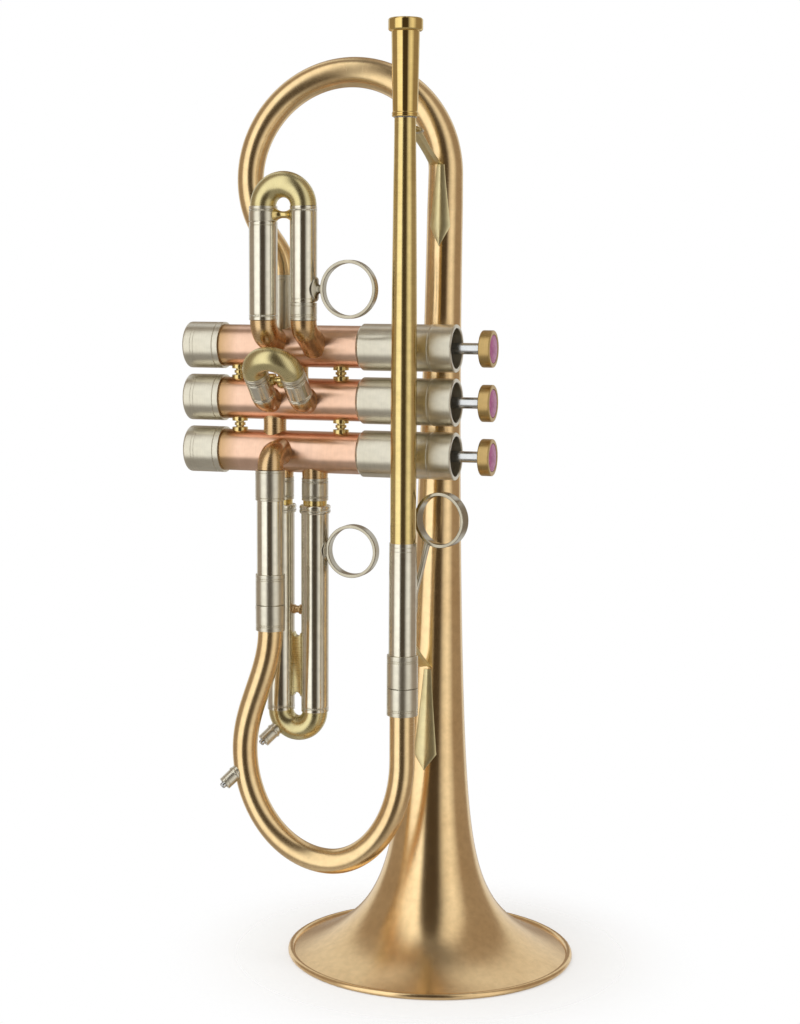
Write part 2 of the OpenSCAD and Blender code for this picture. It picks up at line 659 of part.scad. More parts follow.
module third_legs() color("silver") body_frame() for (x = [third_left_x, third_right_x]) difference() {
    union() {
        riser(x, valve_y, third_bend_z, third_tube_z, third_leg_r, 6.25 + running_gap);
        riser(x, valve_y, third_tube_z - 4.2, third_tube_z, 8.1, 6.25 + running_gap);
        if (x == third_left_x) translate([x - 13.6, valve_y, stop_rod_z]) rotate([0, 90, 0]) {
            cylinder(r = 3.2, h = 3);
            cylinder(r = 1.7, h = 6.9);
        }
    }
    translate([x, valve_y, third_bend_z + 2]) rotate_extrude() translate([third_leg_r, 0])
        circle(r = 0.25, $fn = 16);
}

module third_crook() color("darkkhaki") body_frame()
    translate([(third_left_x + third_right_x) / 2, valve_y, third_bend_z]) mirror([0, 0, 1])
        u_bend(third_span, 6.6, air_r);

third_ring_at = [-35.2, 219];
module third_ring() color("silver") body_frame() difference() {
    union() {
        translate([third_ring_at[0], valve_y, third_ring_at[1]]) finger_ring(13.8, 1.7, 6);
        translate([third_right_x, valve_y, third_ring_at[1]]) rotate([0, 90, 0]) intersection() {
            cylinder(r = 6, h = 8.5);
            translate([-10, -4, 0]) cube([20, 8, 20]);
        }
    }
    translate([third_right_x, valve_y, third_bend_z]) cylinder(r = third_leg_r, h = 100);
    translate([third_ring_at[0], valve_y, third_ring_at[1]]) rotate([90, 0, 0]) translate([0, 0, -9])
        cylinder(r = 12.1, h = 18);
}

web_z = [140.8, 174.6];
stop_rod_z = 186.8;
// Web between the legs with concave ends, and the stop rod above it
module third_web() color("darkkhaki") body_frame() difference() {
    union() {
        translate([third_left_x, valve_y - 2.5, web_z[0]]) cube([third_span, 5, web_z[1] - web_z[0]]);
        translate([third_left_x, valve_y, stop_rod_z]) rotate([0, 90, 0]) {
            cylinder(r = 1.7, h = third_span);
            translate([0, 0, third_span / 2 - 1]) cylinder(r = 2.6, h = 2);
        }
    }
    for (x = [third_left_x, third_right_x]) translate([x, valve_y, third_bend_z])
        cylinder(r = third_leg_r, h = 100);
    for (z = web_z) translate([(third_left_x + third_right_x) / 2, valve_y - 5, z]) rotate([-90, 0, 0])
        cylinder(r = 2.1, h = 10);
}

// ---- main tuning slide, drawn downward ----

crook_bottom_z = 59.8;
crook_mid_x = -39.7;
crook_side_z = 116;
crook_left_x = -85.9;
crook_rings = 52;
// The left leg swings out, the bottom is half an oval on each side of its lowest point
function crook_point(t) = t < 0.28 ? let (s = t / 0.28)
        [main_port_x + (crook_left_x - main_port_x) * ease(s), front_y,
            left_crook_z + (crook_side_z - left_crook_z) * s]
    : t < 0.9 ? let (a = 180 * (t - 0.28) / 0.62,
        w = a < 90 ? crook_mid_x - crook_left_x : lead_x - crook_mid_x)
        [crook_mid_x - w * cos(a), front_y, crook_side_z - (crook_side_z - crook_bottom_z) * sin(a)]
    : [lead_x, front_y, crook_side_z + (right_crook_z - crook_side_z) * (t - 0.9) / 0.1];

module main_crook() color("peru") body_frame() swept_tube([for (i = [0 : crook_rings])
    crook_point(i / crook_rings)], [for (i = [0 : crook_rings]) crook_r], crook_r - air_r,
    [0, 0, -1], [0, 0, 1]);

module main_legs() color("silver") body_frame() {
    riser(lead_x, front_y, right_joint_z, 221, 6.25 - running_gap, air_r);
    riser(main_port_x, front_y, left_joint_z, 240, 6.25 - running_gap, air_r);
    collar(lead_x, front_y, right_crook_z, right_joint_z, 7.95, air_r, right_crook_z + 2.5);
    collar(main_port_x, front_y, left_crook_z, left_joint_z, 7.6, air_r, left_crook_z + 2.5);
}

// ---- water keys ----

key_travel = 2;
key_r = 3.5;
key_bore_r = 2.2;
// The barrel starts at the tube's middle and its open end points away along +Z
module key_barrel() difference() {
    union() {
        cylinder(r = key_r, h = 15.5);
        translate([0, 0, 7.2]) cylinder(r = key_r + 0.4, h = 1.2);
    }
    translate([0, 0, 8.6]) cylinder(r = key_bore_r, h = 10);
    translate([0, 0, 10.6]) rotate([0, 90, 0]) translate([0, 0, -6]) cylinder(r = 0.9, h = 12);
}

module key_plunger() {
    translate([0, 0, 11]) cylinder(r = key_bore_r - running_gap, h = 4);
    translate([0, 0, 15]) cylinder(r = 1.6, h = 2.6);
}

main_key_at = [-85.4, -51, 108];
main_key_turn = [129, 0, -45];
third_key_at = [-73.4, -27, 126.5];
third_key_turn = [129, 0, -45];

module main_key_barrel() color("silver") body_frame() difference() {
    translate(main_key_at) rotate(main_key_turn) key_barrel();
    translate(main_key_at + [0, 0, -12]) cylinder(r = crook_r + 0.1, h = 24);
}

module main_key_plunger() color("silver") body_frame() translate(main_key_at) rotate(main_key_turn)
    key_plunger();

module third_key_barrel() color("silver") body_frame() difference() {
    translate(third_key_at) rotate(third_key_turn) key_barrel();
    translate([(third_left_x + third_right_x) / 2, valve_y, third_bend_z]) mirror([0, 0, 1])
        u_bend(third_span, 6.6);
    translate([third_left_x, valve_y, third_bend_z]) cylinder(r = third_leg_r, h = 20);
}

module third_key_plunger() color("silver") body_frame() translate(third_key_at) rotate(third_key_turn)
    key_plunger();

bell();
bell_rim_wire();
bell_tail();
tail_ferrule();
mouthpiece_receiver();
leadpipe();
main_sleeve_right();
main_sleeve_left();
main_fixed_ferrules();
third_valve_elbow();
valve_1_casing();
valve_2_casing();
valve_3_casing();
upper_casings();
valve_cups();
bottom_caps();
cup_felts();
valve_knuckles();
casing_spools();
bell_and_lead_spools();
bell_stays();
stay_feet();
pinky_ring();
pinky_ring_post();
valve_1_piston();
valve_2_piston();
valve_3_piston();
valve_1_button();
valve_2_button();
valve_3_button();
valve_1_inlay();
valve_2_inlay();
valve_3_inlay();
valve_1_spring();
valve_2_spring();
valve_3_spring();
first_fixed_tubes();
first_elbows();
first_crook();
first_legs();
first_spool();
first_ring();
second_fixed_tubes();
second_elbows();
second_crook();
second_legs();
second_spool();
third_fixed_tubes();
third_stubs();
third_crook();
third_legs();
third_ring();
third_web();
main_crook();
main_legs();
main_key_barrel();
main_key_plunger();
third_key_barrel();
third_key_plunger();
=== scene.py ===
"""Looks of the flugelhorn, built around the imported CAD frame. Metres, +Z up along the bell."""
import json
import math

import bmesh
import bpy
import numpy as np
from mathutils import Matrix, Vector


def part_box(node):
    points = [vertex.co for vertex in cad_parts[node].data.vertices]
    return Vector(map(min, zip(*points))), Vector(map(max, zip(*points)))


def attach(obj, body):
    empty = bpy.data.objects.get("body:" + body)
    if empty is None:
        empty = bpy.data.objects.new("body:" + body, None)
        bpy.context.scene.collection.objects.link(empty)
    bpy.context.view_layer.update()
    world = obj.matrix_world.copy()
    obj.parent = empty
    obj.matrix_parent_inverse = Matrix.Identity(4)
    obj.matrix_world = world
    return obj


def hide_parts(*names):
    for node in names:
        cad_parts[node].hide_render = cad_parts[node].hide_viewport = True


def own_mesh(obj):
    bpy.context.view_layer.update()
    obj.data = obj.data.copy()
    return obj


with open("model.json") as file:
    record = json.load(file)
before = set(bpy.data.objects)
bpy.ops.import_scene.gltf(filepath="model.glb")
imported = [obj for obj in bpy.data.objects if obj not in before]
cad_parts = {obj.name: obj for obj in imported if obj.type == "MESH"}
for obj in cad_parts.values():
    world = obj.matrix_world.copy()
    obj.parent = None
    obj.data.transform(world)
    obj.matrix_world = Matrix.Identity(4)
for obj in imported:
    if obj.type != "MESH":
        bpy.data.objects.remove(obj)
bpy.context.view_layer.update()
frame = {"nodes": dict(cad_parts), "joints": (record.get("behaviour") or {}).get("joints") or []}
MM = 0.001

# ---- bases: the leaning body, the second slide and the water keys ----


class Basis:
    """Three axes that pieces are measured and placed in, with the origin of the row frame."""

    def __init__(self, x, z):
        z = Vector(z).normalized()
        x = (Vector(x) - Vector(x).dot(z) * z).normalized()
        y = z.cross(x)
        self.matrix = Matrix((x, y, z)).transposed().to_4x4()
        self.axes = np.array([list(x), list(y), list(z)])

    def solids(self, node):
        """Boxes (low, high) of a node's separate solids in this basis, sorted by X and then Z."""
        mesh = frame["nodes"][node].data
        points = np.array([v.co for v in mesh.vertices], float).reshape(-1, 3)
        index = {}
        first = [index.setdefault(tuple(p), i) for i, p in enumerate(np.round(points, 6))]
        parent = list(range(len(points)))

        def root(i):
            while parent[i] != i:
                parent[i] = parent[parent[i]]
                i = parent[i]
            return i

        for polygon in mesh.polygons:
            corners = [root(first[v]) for v in polygon.vertices]
            for c in corners[1:]:
                parent[root(c)] = root(corners[0])
        groups = {}
        for i in range(len(points)):
            groups.setdefault(root(first[i]), []).append(i)
        points = points @ self.axes.T
        boxes = [(points[g].min(0).tolist(), points[g].max(0).tolist()) for g in groups.values()]
        return sorted(boxes, key=lambda b: (round(b[0][0], 3), round(b[0][2], 3)))

    def place(self, x, y, z, turn=None):
        matrix = self.matrix @ Matrix.Translation((x, y, z))
        return matrix @ turn if turn is not None else matrix


joints = {j["name"]: j for j in frame["joints"]}
UP = -Vector(joints["main_slide_pull"]["axis"]).normalized()
ALONG = -Vector(joints["valve_1_press"]["axis"]).normalized()
BACK = UP.cross(ALONG)
BODY = Basis(ALONG, UP)
SECOND = Basis(ALONG, joints["second_slide_pull"]["axis"])
KEY = Basis(BACK, -Vector(joints["main_key_press"]["axis"]))
TO_X = Matrix.Rotation(math.pi / 2, 4, "Y")
TO_FRONT = Matrix.Rotation(math.pi / 2, 4, "X")


def middle(solid):
    return [(a + b) / 2 for a, b in zip(*solid)]


def span(solid, axis=2):
    return solid[1][axis] - solid[0][axis]


def half_width(solid, axis=1):
    return span(solid, axis) / 2


def seat(basis, solid, axis=2):
    """Place at the low end of a box with local Z along an axis. Along Y it starts at the far end
    and runs toward the front."""
    x, y, z = middle(solid)
    if axis == 0:
        return basis.place(solid[0][0], y, z, TO_X)
    return basis.place(x, solid[1][1], z, TO_FRONT) if axis == 1 else basis.place(x, y, solid[0][2])


def circle(sides):
    """Cosine and sine at even steps round a circle."""
    return [(math.cos(2 * math.pi * k / sides), math.sin(2 * math.pi * k / sides)) for k in range(sides)]


# ---- materials ----

SCRATCH_DEPTH = 0.05 * MM
GRAIN_DEPTH = 0.1 * MM


def new_material(name):
    material = bpy.data.materials.new(name)
    material.use_nodes = True
    nodes = material.node_tree.nodes
    return material, nodes, material.node_tree.links, nodes["Principled BSDF"]


def mapped_noise(nodes, links, source, scale, detail=3.0, stretch=(1, 1, 1)):
    """Noise on the given coordinates, stretched by a different scale along each of them."""
    mapping = nodes.new("ShaderNodeMapping")
    mapping.inputs["Scale"].default_value = stretch
    links.new(source, mapping.inputs["Vector"])
    noise = nodes.new("ShaderNodeTexNoise")
    noise.inputs["Scale"].default_value = scale
    noise.inputs["Detail"].default_value = detail
    links.new(mapping.outputs["Vector"], noise.inputs["Vector"])
    return noise.outputs["Fac"]


def ramp(nodes, links, source, stops):
    """Colour ramp over [(place, grey or colour), ...]."""
    node = nodes.new("ShaderNodeValToRGB")
    elements = node.color_ramp.elements
    while len(elements) < len(stops):
        elements.new(0.5)
    for element, (place, value) in zip(elements, stops):
        element.position = place
        element.color = (*value, 1) if isinstance(value, tuple) else (value, value, value, 1)
    links.new(source, node.inputs["Fac"])
    return node.outputs["Color"]


def map_range(nodes, links, source, start, end, low, high):
    node = nodes.new("ShaderNodeMapRange")
    for socket, value in (("From Min", start), ("From Max", end), ("To Min", low), ("To Max", high)):
        node.inputs[socket].default_value = value
    links.new(source, node.inputs["Value"])
    return node


def add_relief(nodes, links, shader, source, strength, depth):
    relief = nodes.new("ShaderNodeBump")
    relief.inputs["Strength"].default_value = strength
    relief.inputs["Distance"].default_value = depth
    links.new(source, relief.inputs["Height"])
    links.new(relief.outputs["Normal"], shader.inputs["Normal"])


def mix_colour(nodes, links, factor, a, b, blend="MIX"):
    node = nodes.new("ShaderNodeMix")
    node.data_type = "RGBA"
    node.blend_type = blend
    for socket, value in ((node.inputs[0], factor), (node.inputs[6], a), (node.inputs[7], b)):
        if isinstance(value, (tuple, float, int)):
            socket.default_value = (*value, 1) if isinstance(value, tuple) else value
        else:
            links.new(value, socket)
    return node.outputs[2]


def metal(name, colour, dark, roughness, anisotropic, edge=0.35, bump=0.03, grain="around", tint=None):
    """Satin brushed metal. The grain runs around or along a piece, after its UV map, which is in metres.
    dark is the colour of tarnish, edge how much the worn edges shine, and tint a heat colour with the
    distances along the piece over which it fades."""
    material, nodes, links, shader = new_material(name)
    coordinates = nodes.new("ShaderNodeTexCoord")
    stretch = (0.02, 1, 1) if grain == "around" else (1, 0.02, 1)
    scratches = mapped_noise(nodes, links, coordinates.outputs["UV"], 4500, 4, stretch)
    patches = mapped_noise(nodes, links, coordinates.outputs["Object"], 45, 5)
    blotches = mapped_noise(nodes, links, coordinates.outputs["Object"], 260, 4)
    tarnish = ramp(nodes, links, patches, [(0.42, 0.0), (0.75, 0.45)])
    base = mix_colour(nodes, links, tarnish, colour, dark)
    speckle = ramp(nodes, links, blotches, [(0.3, 0.9), (0.62, 1.0)])
    base = mix_colour(nodes, links, 1.0, base, speckle, "MULTIPLY")
    lines = ramp(nodes, links, scratches, [(0.25, 1 - 2.2 * bump), (0.7, 1.03)])
    base = mix_colour(nodes, links, 1.0, base, lines, "MULTIPLY")
    if tint:
        tint_colour, start, end = tint
        along = nodes.new("ShaderNodeSeparateXYZ")
        links.new(coordinates.outputs["UV"], along.inputs[0])
        heat = map_range(nodes, links, along.outputs[1], start, end, 0.9, 0.0)
        base = mix_colour(nodes, links, heat.outputs["Result"], base, tint_colour)
    geometry = nodes.new("ShaderNodeNewGeometry")
    worn = ramp(nodes, links, geometry.outputs["Pointiness"], [(0.515, 0.0), (0.56, edge)])
    bright = tuple(min(1.0, 1.12 * c + 0.06) for c in colour)
    base = mix_colour(nodes, links, worn, base, bright)
    # Painted shade: where the surface curves inward, in creases and hollows, the colour darkens toward a deep
    # tarnish tone
    painted_crevice_shade = ramp(nodes, links, geometry.outputs["Pointiness"], [(0.43, 0.55), (0.485, 0.0)])
    base = mix_colour(nodes, links, painted_crevice_shade, base, tuple(0.45 * c for c in dark))
    links.new(base, shader.inputs["Base Color"])
    shader.inputs["Metallic"].default_value = 1.0
    rough = map_range(nodes, links, scratches, 0.2, 0.8, roughness - 0.6 * bump, roughness + bump)
    links.new(rough.outputs["Result"], shader.inputs["Roughness"])
    shader.inputs["Anisotropic"].default_value = anisotropic
    shader.inputs["Anisotropic Rotation"].default_value = 0.25 if grain == "around" else 0.0
    tangent = nodes.new("ShaderNodeTangent")
    tangent.direction_type = "UV_MAP"
    links.new(tangent.outputs["Tangent"], shader.inputs["Tangent"])
    add_relief(nodes, links, shader, scratches, bump, SCRATCH_DEPTH)
    return material


def plain(name, colour, roughness, metallic, scale, depth):
    """Close-grained material for felt and pistons."""
    material, nodes, links, shader = new_material(name)
    coordinates = nodes.new("ShaderNodeTexCoord")
    noise = mapped_noise(nodes, links, coordinates.outputs["Object"], scale, 4)
    shade = ramp(nodes, links, noise, [(0.3, 1 - depth), (0.7, 1.0)])
    links.new(mix_colour(nodes, links, 1.0, colour, shade, "MULTIPLY"), shader.inputs["Base Color"])
    shader.inputs["Metallic"].default_value = metallic
    shader.inputs["Roughness"].default_value = roughness
    add_relief(nodes, links, shader, noise, depth, GRAIN_DEPTH)
    return material


def pearl(name):
    """Pink pearl with slow swirls."""
    material, nodes, links, shader = new_material(name)
    coordinates = nodes.new("ShaderNodeTexCoord")
    swirl = nodes.new("ShaderNodeTexNoise")
    swirl.inputs["Scale"].default_value = 160
    swirl.inputs["Distortion"].default_value = 2.5
    links.new(coordinates.outputs["Object"], swirl.inputs["Vector"])
    shade = ramp(nodes, links, swirl.outputs["Fac"],
                 [(0.3, (0.50, 0.06, 0.32)), (0.5, (0.62, 0.12, 0.42)), (0.68, (0.74, 0.24, 0.54))])
    links.new(shade, shader.inputs["Base Color"])
    shader.inputs["Roughness"].default_value = 0.4
    shader.inputs["Coat Weight"].default_value = 0.25
    return material


CAP_END = BODY.solids("bottom_caps")[0][1][0] - BODY.solids("valve_1_casing")[0][0][0]
HEAT_TINT = ((0.50, 0.31, 0.12), CAP_END + 2 * MM, CAP_END + 13 * MM)
# name, colour, tarnish, roughness, anisotropy, shine of worn edges, scratches
GOLD = metal("satin_gold_brass_look", (0.93, 0.68, 0.38), (0.80, 0.54, 0.27),
             0.22, 0.6, 0.35, 0.02)
GOLD_ALONG = metal("drawn_gold_brass_look", (0.91, 0.68, 0.38), (0.79, 0.53, 0.27),
                   0.26, 0.4, 0.35, 0.02)
YELLOW = metal("yellow_brass_look", (0.86, 0.68, 0.31), (0.68, 0.48, 0.17),
               0.2, 0.3, 0.3, 0.05)
POLISHED = metal("polished_brass_look", (0.84, 0.62, 0.25), (0.66, 0.44, 0.13),
                 0.1, 0.3, 0.4, 0.04)
COPPER = metal("satin_copper_look", (0.92, 0.62, 0.47), (0.84, 0.51, 0.32),
               0.29, 0.5, tint=HEAT_TINT)
BROWN = metal("brown_brass_look", (0.76, 0.53, 0.29), (0.56, 0.33, 0.15),
              0.26, 0.2, 0.3)
OLIVE = metal("olive_brass_look", (0.76, 0.66, 0.36), (0.60, 0.48, 0.20),
              0.27, 0.1, 0.3, 0.06)
NICKEL = metal("satin_nickel_look", (0.80, 0.76, 0.65), (0.66, 0.60, 0.47),
               0.33, 0.5, 0.35, 0.04)
NICKEL_ALONG = metal("drawn_nickel_look", (0.84, 0.80, 0.69), (0.72, 0.66, 0.53),
                     0.21, 0.5)
STAY = metal("stay_brass_look", (0.84, 0.74, 0.44), (0.70, 0.57, 0.28),
             0.38, 0.1, 0.5)
RING = metal("ring_nickel_look", (0.50, 0.46, 0.37), (0.38, 0.33, 0.25),
             0.2, 0.2, 0.5)
STEEL = metal("bright_steel_look", (0.72, 0.74, 0.77), (0.5, 0.5, 0.5),
              0.18, 0.0, bump=0.08, grain="along")
BUTTON = metal("button_brass_look", (0.68, 0.48, 0.21), (0.48, 0.31, 0.10),
               0.33, 0.3, bump=0.08)
MONEL = plain("ground_monel_look", (0.62, 0.60, 0.56), 0.28, 1.0, 1200, 0.12)
FELT = plain("felt_look", (0.16, 0.15, 0.13), 0.95, 0.0, 2500, 0.5)
PEARL = pearl("pink_pearl_look")

# ---- mesh tools ----


replaced_nodes = set()


def linked(name, data):
    thing = bpy.data.objects.new(name, data)
    bpy.context.scene.collection.objects.link(thing)
    return thing


def finished(name, mesh, material, body, place=None, node=None):
    """Links a mesh as a piece that rides on a body and takes its slot from its material.
    The first piece that names a CAD node replaces it; the others share the node with it."""
    mesh.materials.append(material)
    piece = linked(name, mesh)
    if place is not None:
        piece.matrix_world = place
    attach(piece, body)
    if node and node not in replaced_nodes:
        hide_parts(node)
        replaced_nodes.add(node)
    return piece


def grid_mesh(name, rings, uv_rings):
    """Closed skin over rings of points. The last ring joins the first one again."""
    count, sides = len(rings), len(rings[0])
    mesh = bpy.data.meshes.new(name)
    points = [tuple(p) for ring in rings for p in ring]
    faces, uvs = [], []
    for i in range(count):
        j = (i + 1) % count
        for k in range(sides):
            n = (k + 1) % sides
            faces.append((i * sides + k, i * sides + n, j * sides + n, j * sides + k))
            u0, v0 = uv_rings[i]
            u1, v1 = uv_rings[i + 1]
            uvs += [(u0 * k / sides, v0), (u0 * (k + 1) / sides, v0),
                    (u1 * (k + 1) / sides, v1), (u1 * k / sides, v1)]
    mesh.from_pydata(points, [], faces)
    layer = mesh.uv_layers.new(name="UVMap")
    layer.data.foreach_set("uv", np.array(uvs, float).ravel())
    mesh.shade_smooth()
    work = bmesh.new()
    work.from_mesh(mesh)
    bmesh.ops.remove_doubles(work, verts=work.verts, dist=1e-7)
    bmesh.ops.recalc_face_normals(work, faces=work.faces)
    work.to_mesh(mesh)
    work.free()
    return mesh


FILLET = 0.18 * MM
SUPPORT = 0.35 * MM
EDGE = 0.08 * MM  # how far a ring that keeps an end square stands from it


def rounded(outline, fillet=FILLET):
    """Closed outline of (height, radius) with each corner rounded and held by two support points."""
    result = []
    count = len(outline)
    for i in range(count):
        before = Vector(outline[i - 1])
        corner = Vector(outline[i])
        after = Vector(outline[(i + 1) % count])
        to_before, to_after = before - corner, after - corner
        if corner.y < 1e-9 or to_before.length < 1e-9 or to_after.length < 1e-9:
            result.append(corner)
            continue
        turn = to_before.angle(to_after)
        if turn > math.radians(172):
            result.append(corner)
            continue
        size = min(fillet, 0.3 * to_before.length, 0.3 * to_after.length)
        start = corner + to_before.normalized() * size
        end = corner + to_after.normalized() * size
        if to_before.length > 3 * size + SUPPORT:
            result.append(start + to_before.normalized() * SUPPORT)
        for t in (0.0, 0.33, 0.67, 1.0):
            result.append((1 - t) ** 2 * start + 2 * t * (1 - t) * corner + t * t * end)
        if to_after.length > 3 * size + SUPPORT:
            result.append(end + to_after.normalized() * SUPPORT)
    return result


def lathe(name, outline, material, body, place, node=None, sides=96, fillet=FILLET):
    """Turned piece from a closed outline of (height, radius) in metres, about the local Z axis of place."""
    profile = rounded(outline, fillet)
    rings, uv_rings, length = [], [], 0.0
    around = circle(sides)
    width = 2 * math.pi * max(p.y for p in profile)
    for i, p in enumerate(profile):
        if i:
            length += (p - profile[i - 1]).length
        radius = max(p.y, 1e-9)
        rings.append([(radius * c, radius * s, p.x) for c, s in around])
        uv_rings.append((width, length))
    uv_rings.append((width, length + (profile[0] - profile[-1]).length))
    return finished(name, grid_mesh(name, rings, uv_rings), material, body, place, node)


def sweep(name, path, radii, wall, material, body, place=None, node=None, sides=64):
    """Bent tube with a wall, along a path, with an outer radius for each point."""
    path = [Vector(p) for p in path]
    first = path[0] + (path[1] - path[0]).normalized() * EDGE
    last = path[-1] + (path[-2] - path[-1]).normalized() * EDGE
    path = [path[0], first, *path[1:-1], last, path[-1]]
    radii = [radii[0], radii[0], *radii[1:-1], radii[-1], radii[-1]]
    count = len(path)
    tangents = [(path[min(i + 1, count - 1)] - path[max(i - 1, 0)]).normalized() for i in range(count)]
    side = tangents[0].orthogonal().normalized()
    frames, lengths, run = [], [], 0.0
    for i, t in enumerate(tangents):
        side = (side - side.dot(t) * t).normalized()
        frames.append((side, t.cross(side)))
        if i:
            run += (path[i] - path[i - 1]).length
        lengths.append(run)
    order = [(i, 0.0) for i in range(count)] + [(i, wall) for i in range(count - 1, -1, -1)]
    rings, uv_rings = [], []
    around = circle(sides)
    width = 2 * math.pi * max(radii)
    for i, inset in order:
        radius = float(radii[i]) - inset
        a, b = frames[i]
        rings.append([path[i] + radius * (c * a + s * b) for c, s in around])
        uv_rings.append((width, lengths[i] + (run if inset else 0.0)))
    uv_rings.append((width, 2 * run + wall))
    return finished(name, grid_mesh(name, rings, uv_rings), material, body, place, node)


END = math.inf  # height of a turned piece's far end


def turned(length, *points):
    """Outline from (height, radius) in millimetres. Heights below zero count down from the far end."""
    return [(length if h == END else h * MM if h >= 0 else length + h * MM, r * MM) for h, r in points]


def groove(height, radius, depth=0.22, width=0.45):
    """Fine turned line in an outline that runs upward, in millimetres."""
    return [(height - width / 2, radius), (height - width / 5, radius - depth),
            (height + width / 5, radius - depth), (height + width / 2, radius)]


def tube(name, basis, solid, inner, material, body, lines=(), outer=None, node=None):
    """Straight tube along a basis's Z that fills the box of a solid. Its radii and the heights of its
    fine turned lines are in millimetres."""
    outer = outer or half_width(solid) / MM
    marks = [p for h in sorted(lines, key=lambda h: (h < 0, h)) for p in groove(h, outer)]
    outline = turned(span(solid), (0, inner), (0, outer), *marks, (END, outer), (END, inner))
    return lathe(name, outline, material, body, seat(basis, solid), node)


def smooth_curve(points, steps=6):
    """Points of a smooth curve through (height, radius) points, as a cubic in the height."""
    heights = [p[0] for p in points]
    radii = [p[1] for p in points]
    slopes = np.gradient(radii, heights).tolist()
    result = []
    for i in range(len(points) - 1):
        h = heights[i + 1] - heights[i]
        for s in range(steps):
            t = s / steps
            value = ((2 * t**3 - 3 * t**2 + 1) * radii[i] + (t**3 - 2 * t**2 + t) * h * slopes[i]
                     + (3 * t**2 - 2 * t**3) * radii[i + 1] + (t**3 - t**2) * h * slopes[i + 1])
            result.append((heights[i] + t * h, value))
    return result + [(heights[-1], radii[-1])]


def ease(t):
    return (1 - math.cos(math.pi * min(max(t, 0.0), 1.0))) / 2


def loft(name, sections, material, body, place=None, node=None, bevel=0.2 * MM, smooth=40):
    """Solid through closed sections of points, capped at both ends, with bevelled edges."""
    mesh = bpy.data.meshes.new(name)
    sides = len(sections[0])
    points = [tuple(p) for s in sections for p in s]
    last = (len(sections) - 1) * sides
    faces = [(i + k, i + (k + 1) % sides, i + sides + (k + 1) % sides, i + sides + k)
             for i in range(0, last, sides) for k in range(sides)]
    faces += [tuple(range(sides - 1, -1, -1)), tuple(last + k for k in range(sides))]
    mesh.from_pydata(points, [], faces)
    work = bmesh.new()
    work.from_mesh(mesh)
    bmesh.ops.remove_doubles(work, verts=work.verts, dist=1e-6)
    bmesh.ops.recalc_face_normals(work, faces=work.faces)
    layer = work.loops.layers.uv.new("UVMap")
    for face in work.faces:
        for loop in face.loops:
            loop[layer].uv = (loop.vert.co.x + loop.vert.co.y, loop.vert.co.z)
    sharp = [e for e in work.edges if len(e.link_faces) == 2 and e.calc_face_angle(0) > math.radians(smooth)]
    if bevel:
        bmesh.ops.bevel(work, geom=sharp, offset=bevel, offset_type="OFFSET", segments=2, profile=0.5,
                        affect="EDGES", clamp_overlap=True)
    for edge in work.edges:
        edge.smooth = len(edge.link_faces) == 2 and edge.calc_face_angle(0) < math.radians(smooth)
    for face in work.faces:
        face.smooth = True
    work.to_mesh(mesh)
    work.free()
    return finished(name, mesh, material, body, place, node)


def u_bend(name, basis, node, way, wall, material, body):
    """Half ring that fills a node's box, its open end down where way is 1 and up where it is -1."""
    solid = basis.solids(node)[0]
    low, high = solid
    radius = half_width(solid)
    x, y, _ = middle(solid)
    reach = (high[0] - low[0]) / 2 - radius
    base = low[2] if way > 0 else high[2]
    path = [(x - reach * math.cos(math.pi * i / 48), y, base + way * reach * math.sin(math.pi * i / 48))
            for i in range(49)]
    return sweep(name, path, [radius] * 49, wall, material, body, basis.matrix, node)


RING_BAND = 1.7 * MM


def finger_ring(name, node, width, body, x, turn=0.0):
    """Round finger ring with soft edges, lying about the middle of its box, turned about the upright."""
    solid = BODY.solids(node)[0]
    _, y, z = middle(solid)
    radius = half_width(solid, 2)
    outline = [(0, radius - RING_BAND), (0, radius), (width, radius), (width, radius - RING_BAND)]
    place = (BODY.place(x, y, z) @ Matrix.Rotation(turn, 4, "Z") @ TO_FRONT
             @ Matrix.Translation((0, 0, -width / 2)))
    return lathe(name, outline, RING, body, place, node, 128, 0.3 * MM)


def spool_outline(length, radius):
    """Turned brace: a flange at each end and a disc at the waist."""
    half = [(0, 0), (0, radius), (0.27, radius), (0.28, 0.52 * radius), (0.40, 0.52 * radius),
            (0.41, 0.7 * radius), (0.5, 0.7 * radius)]
    first = [(length * h, r) for h, r in half]
    return first + [(length - h, r) for h, r in reversed(first[:-1])]


def waisted_outline(length, radius, waist):
    """Brace that narrows in one hollow curve."""
    steps = 16
    side = [(length * i / steps, waist + (radius - waist) * abs(2 * i / steps - 1) ** 2.4)
            for i in range(steps + 1)]
    return [(0, 0), *side, (length, 0)]


ELBOW_FLARE = 0.4 * MM


def elbow(name, path, radius, node, wall=MM):
    """Bent tube into a casing, its last points flared into the saddle."""
    count = len(path)
    radii = [radius + ELBOW_FLARE * max(0.0, 1 - (count - 1 - i) / 7) ** 1.5 for i in range(count)]
    return sweep(name, path, radii, wall, BROWN, "horn", BODY.matrix, node, 72)


# ---- bell and tail ----

GAP = 0.35 * MM  # seen between a sliding collar and the tube it stops on
SLEEVE_BORE = 6.25
LEG_BORE = 5.6
SHEET = 0.7 * MM
STEM_R = 9.2 * MM
STEM_TAPER = 0.0025
STEM_CURVE = 0.076
FLARE_LENGTH = 115 * MM
FLARE_POWER = 6.2
BELL_RINGS = 120


